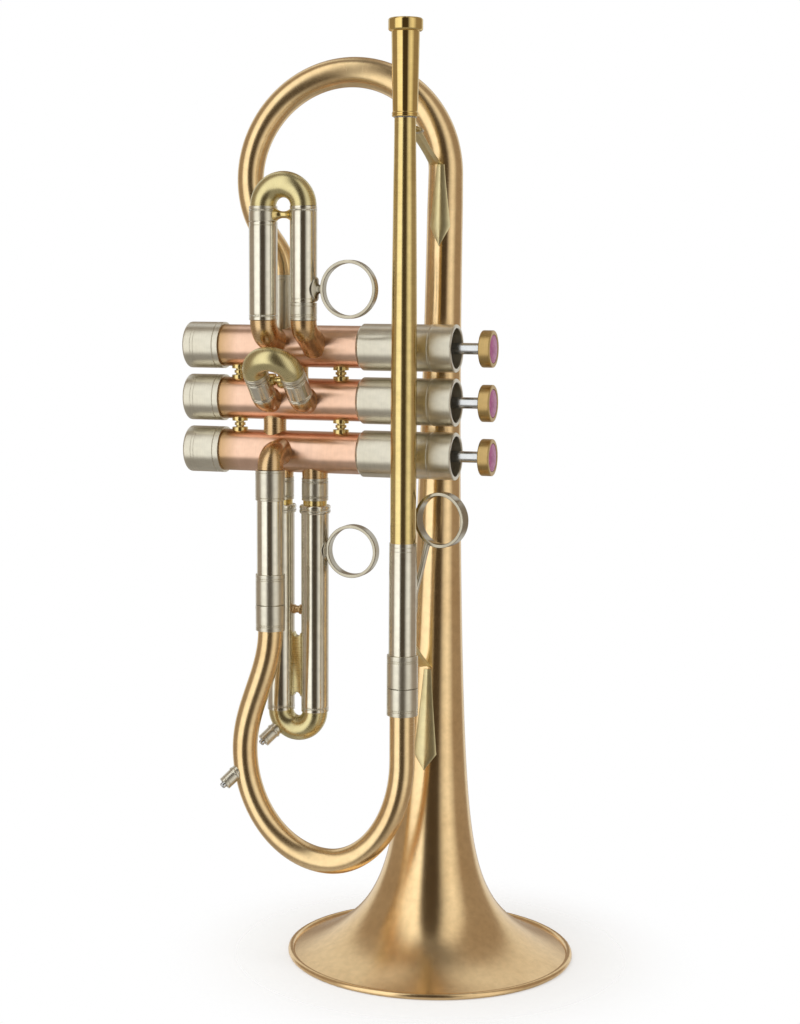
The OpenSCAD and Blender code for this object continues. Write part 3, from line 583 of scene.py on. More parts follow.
def bell():
    """A slim stem that opens faster and faster toward the rim."""
    low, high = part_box("bell")
    rim_z, seam_z, rim_r = low.z, high.z, high.x

    def stem(z):
        return STEM_R + STEM_TAPER * (seam_z - z) + STEM_CURVE * (seam_z - z) ** 2

    def radius(z):
        return stem(z) + (rim_r - stem(rim_z)) * (FLARE_LENGTH / (z - rim_z + FLARE_LENGTH)) ** FLARE_POWER

    rows = [rim_z + (seam_z - rim_z) * (i / BELL_RINGS) ** 1.7 for i in range(BELL_RINGS + 1)]
    rows.insert(-1, seam_z - EDGE)
    side = [(z, radius(z)) for z in rows]
    outline = side + [(z, r - SHEET) for z, r in reversed(side)]
    lathe("bell_sheet", outline, GOLD, "horn", None, "bell", 192, 0.0)
    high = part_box("bell_rim_wire")[1]
    radius = high.z - side[0][0]
    rim = [(max(0.0, side[0][0] + radius * s), high.x - radius + radius * c) for c, s in circle(40)]
    lathe("bell_rim", rim, GOLD, "horn", None, "bell_rim_wire", 256, 0.0)
    return side


ARCH_R = 50 * MM
ARCH_H = 52 * MM
ARCH_Z = 413.5 * MM
ARCH_TURN = math.radians(205)
RISE_END = 0.08  # where along the tail the arch starts
ARCH_END = 0.84  # and where it ends
TAIL_LEAD = 13 * MM
TAIL_END_R = 6.3 * MM


def bezier(a, b, c, d, t):
    return (1 - t) ** 3 * a + 3 * t * (1 - t) ** 2 * b + 3 * t * t * (1 - t) * c + t**3 * d


def tail(seam_z, seam_r):
    """The tail rises from the seam, turns over in an arch and drops into the first valve."""
    ferrule = BODY.solids("tail_ferrule")[0]
    x, y, _ = middle(ferrule)
    end = BODY.matrix @ Vector((x, y, ferrule[1][2]))
    foot = Vector((end.x, 0, end.z))

    def arch(angle):
        return Vector((-ARCH_R + ARCH_R * math.cos(angle), 0, ARCH_Z + ARCH_H * math.sin(angle)))

    def point(t):
        if t < RISE_END:
            p = Vector((0, 0, seam_z + (ARCH_Z - seam_z) * t / RISE_END))
        elif t < ARCH_END:
            p = arch(ARCH_TURN * (t - RISE_END) / (ARCH_END - RISE_END))
        else:
            last = arch(ARCH_TURN)
            p = bezier(last, last + Vector((6 * MM, 0, -TAIL_LEAD)), foot + Vector((0, 0, TAIL_LEAD)), foot,
                       (t - ARCH_END) / (1 - ARCH_END))
        return p + Vector((0, y * ease((t - 0.25) / 0.75), 0))

    count = 176
    path = [point(i / count) for i in range(count + 1)]
    radii = [TAIL_END_R + (seam_r - TAIL_END_R) * (1 - i / count) ** 1.3 for i in range(count + 1)]
    sweep("tail_arch", path, radii, SHEET, GOLD_ALONG, "horn", None, "bell_tail", 72)
    tube("tail_ferrule_sleeve", BODY, ferrule, LEG_BORE, NICKEL, "horn", (-2.5,), node="tail_ferrule")


# ---- leadpipe side ----

LEAD_WALL = 0.6 * MM
LEAD_CURVE = [(0, 6.5), (86, 6.5), (124, 6.25), (174, 5.8), (215.7, 5.35), (230.3, 5.35)]


def leadpipe():
    solid = BODY.solids("leadpipe")[0]
    x, y, _ = middle(solid)
    side = smooth_curve([(h * MM, r * MM) for h, r in LEAD_CURVE], 5)
    outline = side + [(h, r - LEAD_WALL) for h, r in reversed(side)]
    lathe("leadpipe_tube", outline, YELLOW, "horn", BODY.place(x, y, solid[0][2]), "leadpipe", 96, 0.0)
    receiver = BODY.solids("mouthpiece_receiver")[0]
    place = BODY.place(x, y, receiver[0][2])
    collar = half_width(receiver) / MM
    outline = turned(span(receiver), (0, 5.36), (0, 6.3), (0.3, 6.6), *groove(1.1, 6.6), (2, 6.6),
                     (2.4, 6.25), (-6.4, 6.95), (-6.1, 8.0), (-5.4, collar), (-0.7, collar),
                     (END, collar - 0.65), (END, 5.1), (-0.4, 4.9), (-28, 4.9), (-28, 4.2), (14.7, 4.2),
                     (14.7, 5.36))
    lathe("receiver_body", outline, POLISHED, "horn", place, "mouthpiece_receiver", 128)
    outline = turned(0, (-0.55, 5.3), (-0.5, 5.6), (0, 5.8), (0, 5.3))
    lathe("receiver_solder_ring", outline, STEEL, "horn", place, None, 96, 0.05 * MM)


def main_slide():
    """Sleeves and ferrules of the main tuning slide and the inner legs that slide in them."""
    right = BODY.solids("main_sleeve_right")[0]
    outline = turned(span(right), (0, SLEEVE_BORE), (0, 7.1), *groove(-4, 6.96, 0.15),
                     *groove(-2, 6.95, 0.15), (END, 6.9), (END, 6.5), (-4.7, 6.5), (-4.7, SLEEVE_BORE))
    lathe("main_sleeve_right_tube", outline, NICKEL_ALONG, "horn", seat(BODY, right), "main_sleeve_right")
    left = BODY.solids("main_sleeve_left")[0]
    tube("main_sleeve_left_tube", BODY, left, SLEEVE_BORE, NICKEL_ALONG, "horn", node="main_sleeve_left")
    lower, upper, fixed = BODY.solids("main_fixed_ferrules")
    for name, solid, lines in (("left_fixed_ferrule", lower, (-2, -3)),
                               ("left_elbow_ferrule", upper, (1.3, -1.2)),
                               ("right_fixed_ferrule", fixed, (-2.5, -3.4))):
        tube(name, BODY, solid, SLEEVE_BORE, NICKEL, "horn", lines, node="main_fixed_ferrules")
    for side, inner, top in zip(("left", "right"), BODY.solids("main_legs"), (lower[0][2], fixed[0][2])):
        ferrule = (inner[0], [*inner[1][:2], top - GAP])
        tube(f"main_{side}_moving_ferrule", BODY, ferrule, LEG_BORE, NICKEL, "main_slide", (2.2, 3.1),
             node="main_legs")
        leg = ([*inner[0][:2], top - MM], inner[1])
        tube(f"main_{side}_inner_leg", BODY, leg, LEG_BORE, NICKEL_ALONG, "main_slide", outer=6.2)


CROOK_BOTTOM_Z = 59.8 * MM
CROOK_MID_X = -39.7 * MM
CROOK_SIDE_Z = 116 * MM
CROOK_LEFT_X = -85.9 * MM
SWING_END = 0.28  # where along the crook its oval bottom starts
OVAL_END = 0.9  # and where it ends


def main_crook():
    """The left leg swings out, and the bottom is half an oval on each side of its lowest point."""
    left, right = BODY.solids("main_legs")
    x0, y, _ = middle(left)
    x1 = middle(right)[0]
    radius = half_width(BODY.solids("main_crook")[0])

    def point(t):
        if t < SWING_END:
            s = t / SWING_END
            return x0 + (CROOK_LEFT_X - x0) * ease(s), y, left[0][2] + (CROOK_SIDE_Z - left[0][2]) * s
        if t < OVAL_END:
            a = math.pi * (t - SWING_END) / (OVAL_END - SWING_END)
            reach = CROOK_MID_X - CROOK_LEFT_X if a < math.pi / 2 else x1 - CROOK_MID_X
            drop = (CROOK_SIDE_Z - CROOK_BOTTOM_Z) * math.sin(a)
            return CROOK_MID_X - reach * math.cos(a), y, CROOK_SIDE_Z - drop
        return x1, y, CROOK_SIDE_Z + (right[0][2] - CROOK_SIDE_Z) * (t - OVAL_END) / (1 - OVAL_END)

    count = 180
    sweep("main_bow", [point(i / count) for i in range(count + 1)], [radius] * (count + 1), 0.8 * MM,
          GOLD_ALONG, "main_slide", BODY.matrix, "main_crook", 72)


# ---- valves ----


def casing_axis(n):
    return middle(BODY.solids(f"valve_{n}_casing")[0])


def by_height(node):
    """Solids of a node from the top one down."""
    return sorted(BODY.solids(node), key=lambda s: -middle(s)[2])


CASING_WALL = 1.85
BUTTON_DEPTH = 5.9 * MM


def valve(n):
    """Casing of valve n: the copper middle, the upper casing, the top cup and the bottom cap."""
    casing = BODY.solids(f"valve_{n}_casing")[0]
    upper, cup, cap = (by_height(node)[n - 1] for node in ("upper_casings", "valve_cups", "bottom_caps"))
    _, y, z = middle(casing)
    middle_r, upper_r, cup_r, cap_r = (half_width(s) / MM for s in (casing, upper, cup, cap))
    bore = middle_r - CASING_WALL
    edge = [(h, cap_r - d) for h, d in ((0, 1.1), (0.15, 0.75), (0.45, 0.35), (0.9, 0.1), (1.5, 0))]
    for part, solid, material, node, points in (
            ("copper", casing, COPPER, f"valve_{n}_casing",
             [(0, bore), (0, middle_r), (END, middle_r), (END, bore)]),
            ("upper", upper, NICKEL, "upper_casings",
             [(0, bore), (0, 11), (0.5, 11.3), (1.2, upper_r), (-1, upper_r), (-0.8, upper_r - 0.3),
              (END, upper_r - 0.3), (END, bore)]),
            ("cup", cup, NICKEL, "valve_cups",
             [(0, 3.3), (0, cup_r - 0.2), (0.3, cup_r), (-0.4, cup_r), (END, cup_r - 0.4), (END, 10.4),
              (-0.4, 10.2), (2.5, 10.2), (2.5, 3.3)]),
            ("cap", cap, NICKEL, "bottom_caps",
             [(0, 1.5), *edge, *groove(4.6, cap_r, 0.05, 0.3), *groove(6.2, cap_r, 0.05, 0.3),
              *groove(-3.1, cap_r, 0.3, 0.4), (END, cap_r), (END, 10.86), (6, 10.86), (6, 9), (2, 9),
              (2, 1.5)])):
        lathe(f"valve_{n}_{part}", turned(span(solid, 0), *points), material, "horn",
              BODY.place(solid[0][0], y, z, TO_X), node)


def valve_top(n):
    """Stem, finger button and pearl of valve n."""
    body = f"valve_{n}"
    button = BODY.solids(f"valve_{n}_button")[0]
    _, y, z = middle(button)
    start, back = button[0][0], button[1][0] - BUTTON_DEPTH
    radius = half_width(button) / MM
    outline = turned(back - start, (0, 0), (0, 2.5), (0.4, 2.88), (-1.5, 2.88), (-1.3, 3.3), (END, 3.3),
                     (END, 0))
    lathe(f"valve_{n}_stem", outline, STEEL, body, seat(BODY, button, 0), f"valve_{n}_button", 64)
    outline = turned(BUTTON_DEPTH, (0, 0), (0, radius - 0.5), (0.3, radius - 0.1), (0.7, radius),
                     (-0.3, radius), (END, radius - 0.3), (END, 7.35), (-1.2, 7.15), (-1.2, 0))
    lathe(f"valve_{n}_finger_button", outline, BUTTON, body, BODY.place(back, y, z, TO_X), None, 96,
          0.15 * MM)
    inlay = BODY.solids(f"valve_{n}_inlay")[0]
    thick, pearl_r = span(inlay, 0), 7.05 * MM
    dome = [(thick - 0.55 * MM * (i / 8) ** 2, pearl_r * i / 8) for i in range(8, -1, -1)]
    lathe(f"valve_{n}_pearl", [(0, 0), (0, pearl_r), *dome], PEARL, body,
          BODY.place(inlay[0][0], y, z, TO_X), f"valve_{n}_inlay", 96, 0.1 * MM)


def spring(n):
    """Coil spring wound along the box of the valve's spring."""
    coil = BODY.solids(f"valve_{n}_spring")[0]
    _, y, z = middle(coil)
    wire = 0.6 * MM
    radius = half_width(coil) - wire
    start = coil[0][0] + wire
    reach = coil[1][0] - wire - start
    turns, steps = 7, 24
    count = turns * steps
    path = [(start + reach * i / count, y + radius * math.cos(2 * math.pi * i / steps),
             z + radius * math.sin(2 * math.pi * i / steps)) for i in range(count + 1)]
    piece = sweep(f"valve_{n}_coil", path, [wire] * (count + 1), 0.55 * MM, STEEL, "horn", BODY.matrix,
                  f"valve_{n}_spring", 12)
    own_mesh(piece)


KNUCKLE_DIP = 0.7 * MM
SPOOL_FILLET = 0.12 * MM


def braces():
    """Spools between the casings and to the bell and leadpipe, and the knuckles that join the valves."""
    for i, solid in enumerate(BODY.solids("casing_spools")):
        lathe(f"casing_brace_{i + 1}", spool_outline(span(solid), 4.1 * MM), YELLOW, "horn",
              seat(BODY, solid), "casing_spools", 64, SPOOL_FILLET)
    for i, solid in enumerate(sorted(BODY.solids("bell_and_lead_spools"), key=lambda s: s[0][1])):
        lathe(f"side_brace_{i + 1}", spool_outline(span(solid, 1), 3.6 * MM), YELLOW, "horn",
              seat(BODY, solid, 1), "bell_and_lead_spools", 64, SPOOL_FILLET)
    steps = 14
    for i, solid in enumerate(BODY.solids("valve_knuckles")):
        length, waist = span(solid), half_width(solid) - KNUCKLE_DIP
        side = [(length * k / steps, waist + KNUCKLE_DIP * abs(2 * k / steps - 1) ** 3)
                for k in range(steps + 1)]
        bore = LEG_BORE * MM
        lathe(f"valve_knuckle_{i + 1}", side + [(length, bore), (0, bore)], BROWN, "horn",
              seat(BODY, solid), "valve_knuckles", 72, 0.0)


SADDLE_R = 9.7 * MM


def saddle(piece, n):
    """Pushes what reaches into valve n out to a radius inside its wall, so that its bore stays free."""
    _, y, z = casing_axis(n)
    to_body = BODY.matrix.inverted() @ piece.matrix_world
    back = to_body.inverted()
    for v in piece.data.vertices:
        p = to_body @ v.co
        out = Vector((0, p.y - y, p.z - z))
        if 1e-6 < out.length < SADDLE_R:
            out *= SADDLE_R / out.length
            v.co = back @ Vector((p.x, y + out.y, z + out.z))
    return piece


# ---- elbows and stubs ----


ARC_STEPS = 18
STRAIGHT_STEP = 0.8 * MM


def arc(start, heading, toward, radius, turn):
    """Points of a bend that leaves start along heading and curls toward another direction."""
    start, heading, toward = Vector(start), Vector(heading), Vector(toward)
    turns = [turn * i / ARC_STEPS for i in range(ARC_STEPS + 1)]
    return [start + radius * (math.sin(a) * heading + (1 - math.cos(a)) * toward) for a in turns]


def straight(points, length):
    """The points and a straight run on from the last two."""
    way = (points[-1] - points[-2]).normalized()
    count = max(2, int(length / STRAIGHT_STEP))
    return points + [points[-1] + way * (length * i / count) for i in range(1, count + 1)]


ELBOW_STOP = 8 * MM  # how far from a valve's axis an elbow ends
SECOND_START = 13 * MM
SECOND_BEND = 8 * MM


def elbows():
    """Bent tubes from the slides into the valves, whose ends follow the round casings."""
    _, valve_y, z3 = casing_axis(3)
    solid = BODY.solids("third_valve_elbow")[0]
    foot = solid[0][2]
    front = middle(BODY.solids("main_sleeve_left")[0])[1]
    path = arc((middle(solid)[0], front, foot), (0, 0, 1), (0, 1, 0), z3 - foot, math.pi / 2)
    path = straight(path, valve_y - ELBOW_STOP - path[-1].y)
    saddle(elbow("third_elbow", path, 6.6 * MM, "third_valve_elbow"), 3)
    shapes = ((9 * MM, math.radians(75), 6.8 * MM), (7 * MM, math.radians(62), 6.6 * MM))
    for i, (solid, (bend_r, turn, radius)) in enumerate(zip(BODY.solids("first_elbows"), shapes)):
        path = arc((middle(solid)[0], front, solid[1][2]), (0, 0, -1), (0, 1, 0), bend_r, turn)
        path = straight(path, (valve_y - path[-1].y) / math.sin(turn) - ELBOW_STOP)
        saddle(elbow(f"first_elbow_{i + 1}", path, radius, "first_elbows"), 1)
    z2 = casing_axis(2)[2]
    rise = math.acos(min(1.0, float(SECOND.axes[2] @ -BODY.axes[1])))
    for i, solid in enumerate(BODY.solids("second_elbows")):
        start = (middle(solid)[0], valve_y - SECOND_START, z2)
        path = arc(start, (0, -1, 0), (0, 0, 1), SECOND_BEND, rise)[::-1]
        path = straight(path, SECOND_START - ELBOW_STOP)
        saddle(elbow(f"second_elbow_{i + 1}", path, 6.3 * MM, "second_elbows", 0.9 * MM), 2)
    for i, solid in enumerate(BODY.solids("third_stubs")):
        x, y, _ = middle(solid)
        foot = solid[0][2]
        path = straight([Vector((x, y, foot)), Vector((x, y, foot + 0.2 * MM))], z3 - ELBOW_STOP - foot)
        saddle(elbow(f"third_stub_{i + 1}", path, 6.6 * MM, "third_stubs"), 3)


# ---- the three valve slides ----


def slide_ring(slide, leg_x, leg_r, width, tall):
    """Finger ring of a slide and the flange that carries it."""
    ring = BODY.solids(f"{slide}_ring")[0]
    _, y, z = middle(ring)
    radius = half_width(ring, 2)
    centre = ring[1][0] - radius
    finger_ring(f"{slide}_finger_ring", f"{slide}_ring", width, f"{slide}_slide", centre)
    flange(f"{slide}_ring_flange", leg_x, leg_r, centre - radius, y, z, tall, f"{slide}_slide")


def flange(name, axis_x, leg_r, end_x, y, z, tall, body):
    """Oval saddle soldered round a leg, with a neck that carries a finger ring."""
    reach = end_x - axis_x
    wide = 5.0

    def hugging(height, ry, rz):
        """An oval that lies on a cylinder round the leg."""
        return [(axis_x + math.sqrt((leg_r + height * MM) ** 2 - (ry * MM * c) ** 2), y + ry * MM * c,
                 z + rz * MM * s) for c, s in circle(48)]

    def flat(d, ry, rz):
        return [(axis_x + d, y + ry * MM * c, z + rz * MM * s) for c, s in circle(48)]

    sections = [hugging(-0.5, wide, tall), hugging(0.5, wide, tall), hugging(0.9, wide - 0.6, tall - 0.7),
                hugging(1.1, 2.4, tall * 0.5), flat((leg_r + reach) / 2 + 0.5 * MM, 1.5, 2.0),
                flat(reach, 1.9, 2.8), flat(reach + 0.9 * MM, 2.2, 3.6)]
    loft(name, sections, RING, body, BODY.matrix, None, 0.15 * MM, 50)


def first_slide():
    left, right = BODY.solids("first_fixed_tubes")
    legs = BODY.solids("first_legs")
    tube("first_left_sleeve", BODY, left, 6.4, NICKEL_ALONG, "horn", (1.6, 2.8, -1.6),
         node="first_fixed_tubes")
    collar_top = legs[1][0][2]
    inner = ([*right[0][:2], collar_top - MM], right[1])
    tube("first_right_inner_tube", BODY, inner, 5.4, NICKEL_ALONG, "horn", outer=6)
    collar = (right[0], [*right[1][:2], collar_top - GAP])
    tube("first_right_collar", BODY, collar, LEG_BORE, NICKEL, "horn", (1.8, 2.8, -1.6))
    joint = left[1][2]
    leg = (legs[0][0], [*legs[0][1][:2], joint + MM])
    tube("first_left_inner_leg", BODY, leg, LEG_BORE, NICKEL_ALONG, "first_slide", outer=6.35,
         node="first_legs")
    ferrule = ([*legs[0][0][:2], joint + GAP], legs[0][1])
    tube("first_left_ferrule", BODY, ferrule, LEG_BORE, NICKEL, "first_slide", (-1.4, -2.6))
    tube("first_right_leg", BODY, legs[1], 6.05, NICKEL_ALONG, "first_slide", (1.6, -1.4, -2.6))
    u_bend("first_bow", BODY, "first_crook", 1, MM, OLIVE, "first_slide")
    spool = BODY.solids("first_spool")[0]
    place = BODY.place(spool[0][0], middle(left)[1], middle(spool)[2], TO_X)
    lathe("first_brace", waisted_outline(span(spool, 0), 4 * MM, 1.7 * MM), YELLOW, "first_slide", place,
          "first_spool", 64, 0.08 * MM)
    slide_ring("first", middle(legs[1])[0], half_width(legs[1]), 5 * MM, 6.0)


def second_slide():
    legs = SECOND.solids("second_legs")
    for i, (outer, leg) in enumerate(zip(SECOND.solids("second_fixed_tubes"), legs)):
        joint = outer[1][2]
        tube(f"second_fixed_tube_{i + 1}", SECOND, outer, 5.9, NICKEL_ALONG, "horn", (1.5, 2.6, -1.2),
             node="second_fixed_tubes")
        inner = (leg[0], [*leg[1][:2], joint + MM])
        tube(f"second_leg_{i + 1}", SECOND, inner, 5.3, NICKEL_ALONG, "second_slide", outer=5.85,
             node="second_legs")
        end = ([*leg[0][:2], joint + GAP], leg[1])
        tube(f"second_ferrule_{i + 1}", SECOND, end, 5.3, NICKEL, "second_slide", (-1.1,))
    u_bend("second_bow", SECOND, "second_crook", 1, 0.9 * MM, OLIVE, "second_slide")
    spool = SECOND.solids("second_spool")[0]
    x, y, z = middle(spool)
    lathe("second_brace", spool_outline(span(spool, 0), 3 * MM), YELLOW, "horn",
          seat(SECOND, spool, 0), "second_spool", 64, 0.1 * MM)
    acorn = turned(0, (0, 0), (0, 1.3), (0.8, 1.4), (1.2, 2.2), (2.4, 2.5), (3.8, 2.3), (5.2, 1.4),
                   (6.0, 0.5), (6.2, 0))
    lathe("second_brace_acorn", acorn, YELLOW, "horn",
          SECOND.place(x, y, z, Matrix.Rotation(math.pi, 4, "X")), None, 64, 0.15 * MM)


THIRD_LEG_R = 7.2


def third_slide():
    """The third slide points down, with its legs over two inner tubes and a stop rod between them."""
    fixed = BODY.solids("third_fixed_tubes")
    legs = BODY.solids("third_legs")
    centres = [middle(s)[0] for s in fixed]
    y = middle(fixed[0])[1]
    leg_r = THIRD_LEG_R
    for i, (tubes, leg, x) in enumerate(zip(fixed, legs, centres)):
        top = tubes[1][2]
        ferrule = ([*tubes[0][:2], top - 11.6 * MM], tubes[1])
        tube(f"third_ferrule_{i + 1}", BODY, ferrule, LEG_BORE, NICKEL, "horn", (1.3, 2.4, -1.4, -2.5),
             node="third_fixed_tubes")
        inner = (tubes[0], [*tubes[1][:2], top - 10.6 * MM])
        tube(f"third_inner_tube_{i + 1}", BODY, inner, LEG_BORE, YELLOW, "horn", outer=6.2)
        outline = turned(span(leg), (0, 6.3), (0, leg_r), *groove(1.6, leg_r), *groove(2.7, leg_r),
                         (-4.3, leg_r), (-4.2, 7.9), (-3.4, 8.1), *groove(-2.1, 8.1, 0.3, 0.8), (-0.6, 8.1),
                         (END, 7.7), (END, 6.3))
        lathe(f"third_leg_{i + 1}", outline, NICKEL_ALONG, "third_slide", BODY.place(x, y, leg[0][2]),
              "third_legs")
    u_bend("third_bow", BODY, "third_crook", -1, MM, OLIVE, "third_slide")
    slide_ring("third", centres[1], leg_r * MM, 6 * MM, 5.6)
    web, rod = sorted(BODY.solids("third_web"), key=lambda s: s[0][2])
    web_plate(web, y)
    z = middle(rod)[2]
    outline = turned(span(rod, 0), (0, 0), (0, 2.4), (1.2, 2.4), (1.3, 1.9), (-1.5, 1.9), (-1.4, 2.6),
                     (END, 2.6), (END, 0))
    lathe("third_stop_rod", outline, BROWN, "third_slide", BODY.place(rod[0][0], y, z, TO_X), "third_web", 48)
    x = legs[0][0][0]
    outline = turned(centres[0] - 6.6 * MM - x, (0, 0), (0, 2.4), (0.5, 3.1), (1.4, 3.2), (2.5, 3.0),
                     (3.0, 2.4), (3.3, 1.7), (END, 1.7), (END, 0))
    lathe("third_stop_knob", outline, NICKEL, "third_slide", BODY.place(x, y, z, TO_X), None, 64)


def web_plate(web, y):
    """Plate between two legs with a hollow in each end."""
    (x0, _, z0), (x1, _, z1) = web
    hollow = 2.1 * MM
    centre = (x0 + x1) / 2
    around = [(centre - hollow * c, z0 + hollow * s) for c, s in circle(32)[:17]]
    outline = [(x0, z0), *around, (x1, z0)]
    outline += [(x, z0 + z1 - z) for x, z in reversed(outline)]
    thick = half_width(web)
    sections = [[(x, y + s * thick, z) for x, z in outline] for s in (-1, 1)]
    loft("third_web_plate", sections, OLIVE, "third_slide", BODY.matrix, None, 0.25 * MM, 50)


# ---- stays, kites and the little finger's ring ----

KITE_NECK = 4 * MM
LEAD_KITE_W = 8 * MM
SLEEVE_R = 7.05 * MM

def kite_plate(name, surface, centre, facing, rows, material, node=None, place=None):
    """Pointed plate wrapped on a round tube, with a soft ridge down its middle.
    surface gives the tube's radius at a height, and rows are (height, half width)."""
    columns = 10
    sections = []
    for z, half in rows:
        radius = surface(z)
        outer, inner = [], []
        for k in range(columns + 1):
            s = 2 * k / columns - 1
            angle = s * half / radius
            lift = 0.35 * MM + 0.6 * MM * (1 - abs(s)) * min(1.0, half / (2.5 * MM))
            for points, r in ((outer, radius + lift), (inner, radius - 0.3 * MM)):
                points.append((centre[0] + r * math.sin(angle), centre[1] + facing * r * math.cos(angle), z))
        sections.append(outer + inner[::-1])
    loft(name, sections, material, "horn", place, node, 0.12 * MM, 60)


def kite_rows(top, shoulder, tip, neck, width):
    """Half widths of a kite from its narrow end at top over its shoulder to its tip."""
    steps = 10
    rows = [(top + (shoulder - top) * i / steps, (neck + (width - neck) * (i / steps) ** 1.15) / 2)
            for i in range(steps + 1)]
    return rows + [(shoulder + (tip - shoulder) * i / 6, max(0.15 * MM, width * (1 - i / 6) / 2))
                   for i in range(1, 7)]


def strap(name, start, end, width, node):
    """Folded stay between two points, with a ridge along its middle."""
    start, end = Vector(start), Vector(end)
    way = (end - start).normalized()
    side = way.cross(Vector((0, 0, 1))).normalized()
    up = side.cross(way)
    sections = []
    for i in range(13):
        t = i / 12
        half = width / 2 * (1 - 0.22 * math.sin(math.pi * t))
        rise, edge = 1.7 * MM, 0.4 * MM
        at = start + (end - start) * t
        profile = [(-half, 0), (-half * 0.5, rise * 0.62), (0, rise), (half * 0.5, rise * 0.62), (half, 0),
                   (half, -edge), (0, rise - 1.3 * MM), (-half, -edge)]
        sections.append([at + side * a + up * b for a, b in profile])
    loft(name, sections, STAY, "horn", None, node, 0.12 * MM, 25)
    return start, way, side, up


def stay_collar(name, start, way, side, up, width):
    """Flat band round the top of a stay."""
    sections = [[start + way * (d * MM) + side * (width / 2 * c) + up * (1.5 * MM * s + 0.5 * MM)
                 for c, s in circle(40)] for d in (2.6, 3.0, 4.2, 4.6)]
    loft(name, sections, NICKEL, "horn", None, None, 0.12 * MM, 50)


def stays(bell_side):
    """Two folded stays with their kites on the bell and their feet on the leadpipe's side."""
    heights = [p[0] for p in bell_side]
    radii = [p[1] for p in bell_side]

    def bell_radius(z):
        return float(np.interp(z, heights, radii))

    here = Basis((1, 0, 0), (0, 0, 1))
    feet = sorted(here.solids("stay_feet"), key=lambda s: -s[0][2])
    bell_feet = [s for s in feet if abs(middle(s)[1]) < 25 * MM]
    for i, (solid, width, shoulder) in enumerate(zip(bell_feet, (11.2 * MM, 12.4 * MM), (0.245, 0.16))):
        tip, top = solid[0][2], solid[1][2]
        rows = kite_rows(top, tip + shoulder * (top - tip), tip, KITE_NECK, width)
        kite_plate(f"bell_kite_{i + 1}", bell_radius, (0, 0), -1, rows, STAY, "stay_feet")
    x, y, _ = middle(BODY.solids("leadpipe")[0])
    receiver, sleeve = sorted((s for s in BODY.solids("stay_feet") if middle(s)[1] < -25 * MM),
                              key=lambda s: -s[0][2])
    receiver_z = BODY.solids("mouthpiece_receiver")[0][0][2]

    def receiver_radius(z):
        return 5.95 * MM if z < receiver_z else 6.2 * MM + 0.017 * (z - receiver_z)

    for name, (low, high), surface, shoulder in (("receiver_foot", receiver, receiver_radius, 32 * MM),
                                                 ("sleeve_foot", sleeve, lambda z: SLEEVE_R, 9 * MM)):
        rows = kite_rows(low[2], low[2] + shoulder, high[2], KITE_NECK, LEAD_KITE_W)
        kite_plate(name, surface, (x, y), 1, rows, STAY, place=BODY.matrix)
    for i, solid in enumerate(sorted(here.solids("bell_stays"), key=lambda s: -s[0][2])):
        low, high = solid
        x = middle(solid)[0]
        frame_of_stay = strap(f"bell_stay_{i + 1}", (x - 0.5 * MM, low[1] - 0.8 * MM, high[2] - MM),
                              (x + 0.5 * MM, high[1] + 0.8 * MM, low[2] + MM), 7 * MM, "bell_stays")
        if i == 0:
            stay_collar("upper_stay_collar", *frame_of_stay, 8.4 * MM)


def pinky():
    """The little finger's ring, its curved stem and the foot of the stem on the sleeve."""
    centre = Vector(middle(BODY.solids("pinky_ring")[0]))
    finger_ring("pinky_finger_ring", "pinky_ring", 6 * MM, "horn", centre.x, math.radians(-12))
    offsets = ((-6.6, 0.9, -11.3), (-7.6, 0.6, -13.2), (-8.7, 0.3, -18), (-10.2, 0, -25), (-12, -0.3, -32),
               (-13.4, -0.6, -37), (-14.2, -1.0, -40))
    path = [centre + MM * Vector(p) for p in offsets]
    fine = [path[0]]
    for i in range(len(path) - 1):
        a = path[max(i - 1, 0)]
        b, c = path[i], path[i + 1]
        d = path[min(i + 2, len(path) - 1)]
        for k in range(1, 7):
            t = k / 6
            fine.append(0.5 * ((2 * b) + (c - a) * t + (2 * a - 5 * b + 4 * c - d) * t * t
                               + (3 * b - a - 3 * c + d) * t**3))
    count = len(fine)
    radii = [1.75 * MM - 0.35 * MM * math.sin(math.pi * i / (count - 1)) for i in range(count)]
    sweep("pinky_ring_stem", fine, radii, 1.3 * MM, NICKEL, "horn", BODY.matrix, "pinky_ring_post", 32)
    x, y, _ = middle(BODY.solids("leadpipe")[0])
    rows = kite_rows(0, 14 * MM, 22 * MM, KITE_NECK, LEAD_KITE_W)
    turn = Matrix.Rotation(math.radians(-40), 4, "Z") @ Matrix.Rotation(math.pi, 4, "Y")
    place = BODY.place(x, y, centre.z - 30.3 * MM, turn)
    kite_plate("pinky_ring_foot", lambda z: SLEEVE_R, (0, 0), 1, rows, NICKEL, place=place)


# ---- water keys ----

KEY_BARREL = 11.5
KEY_R = 3.5


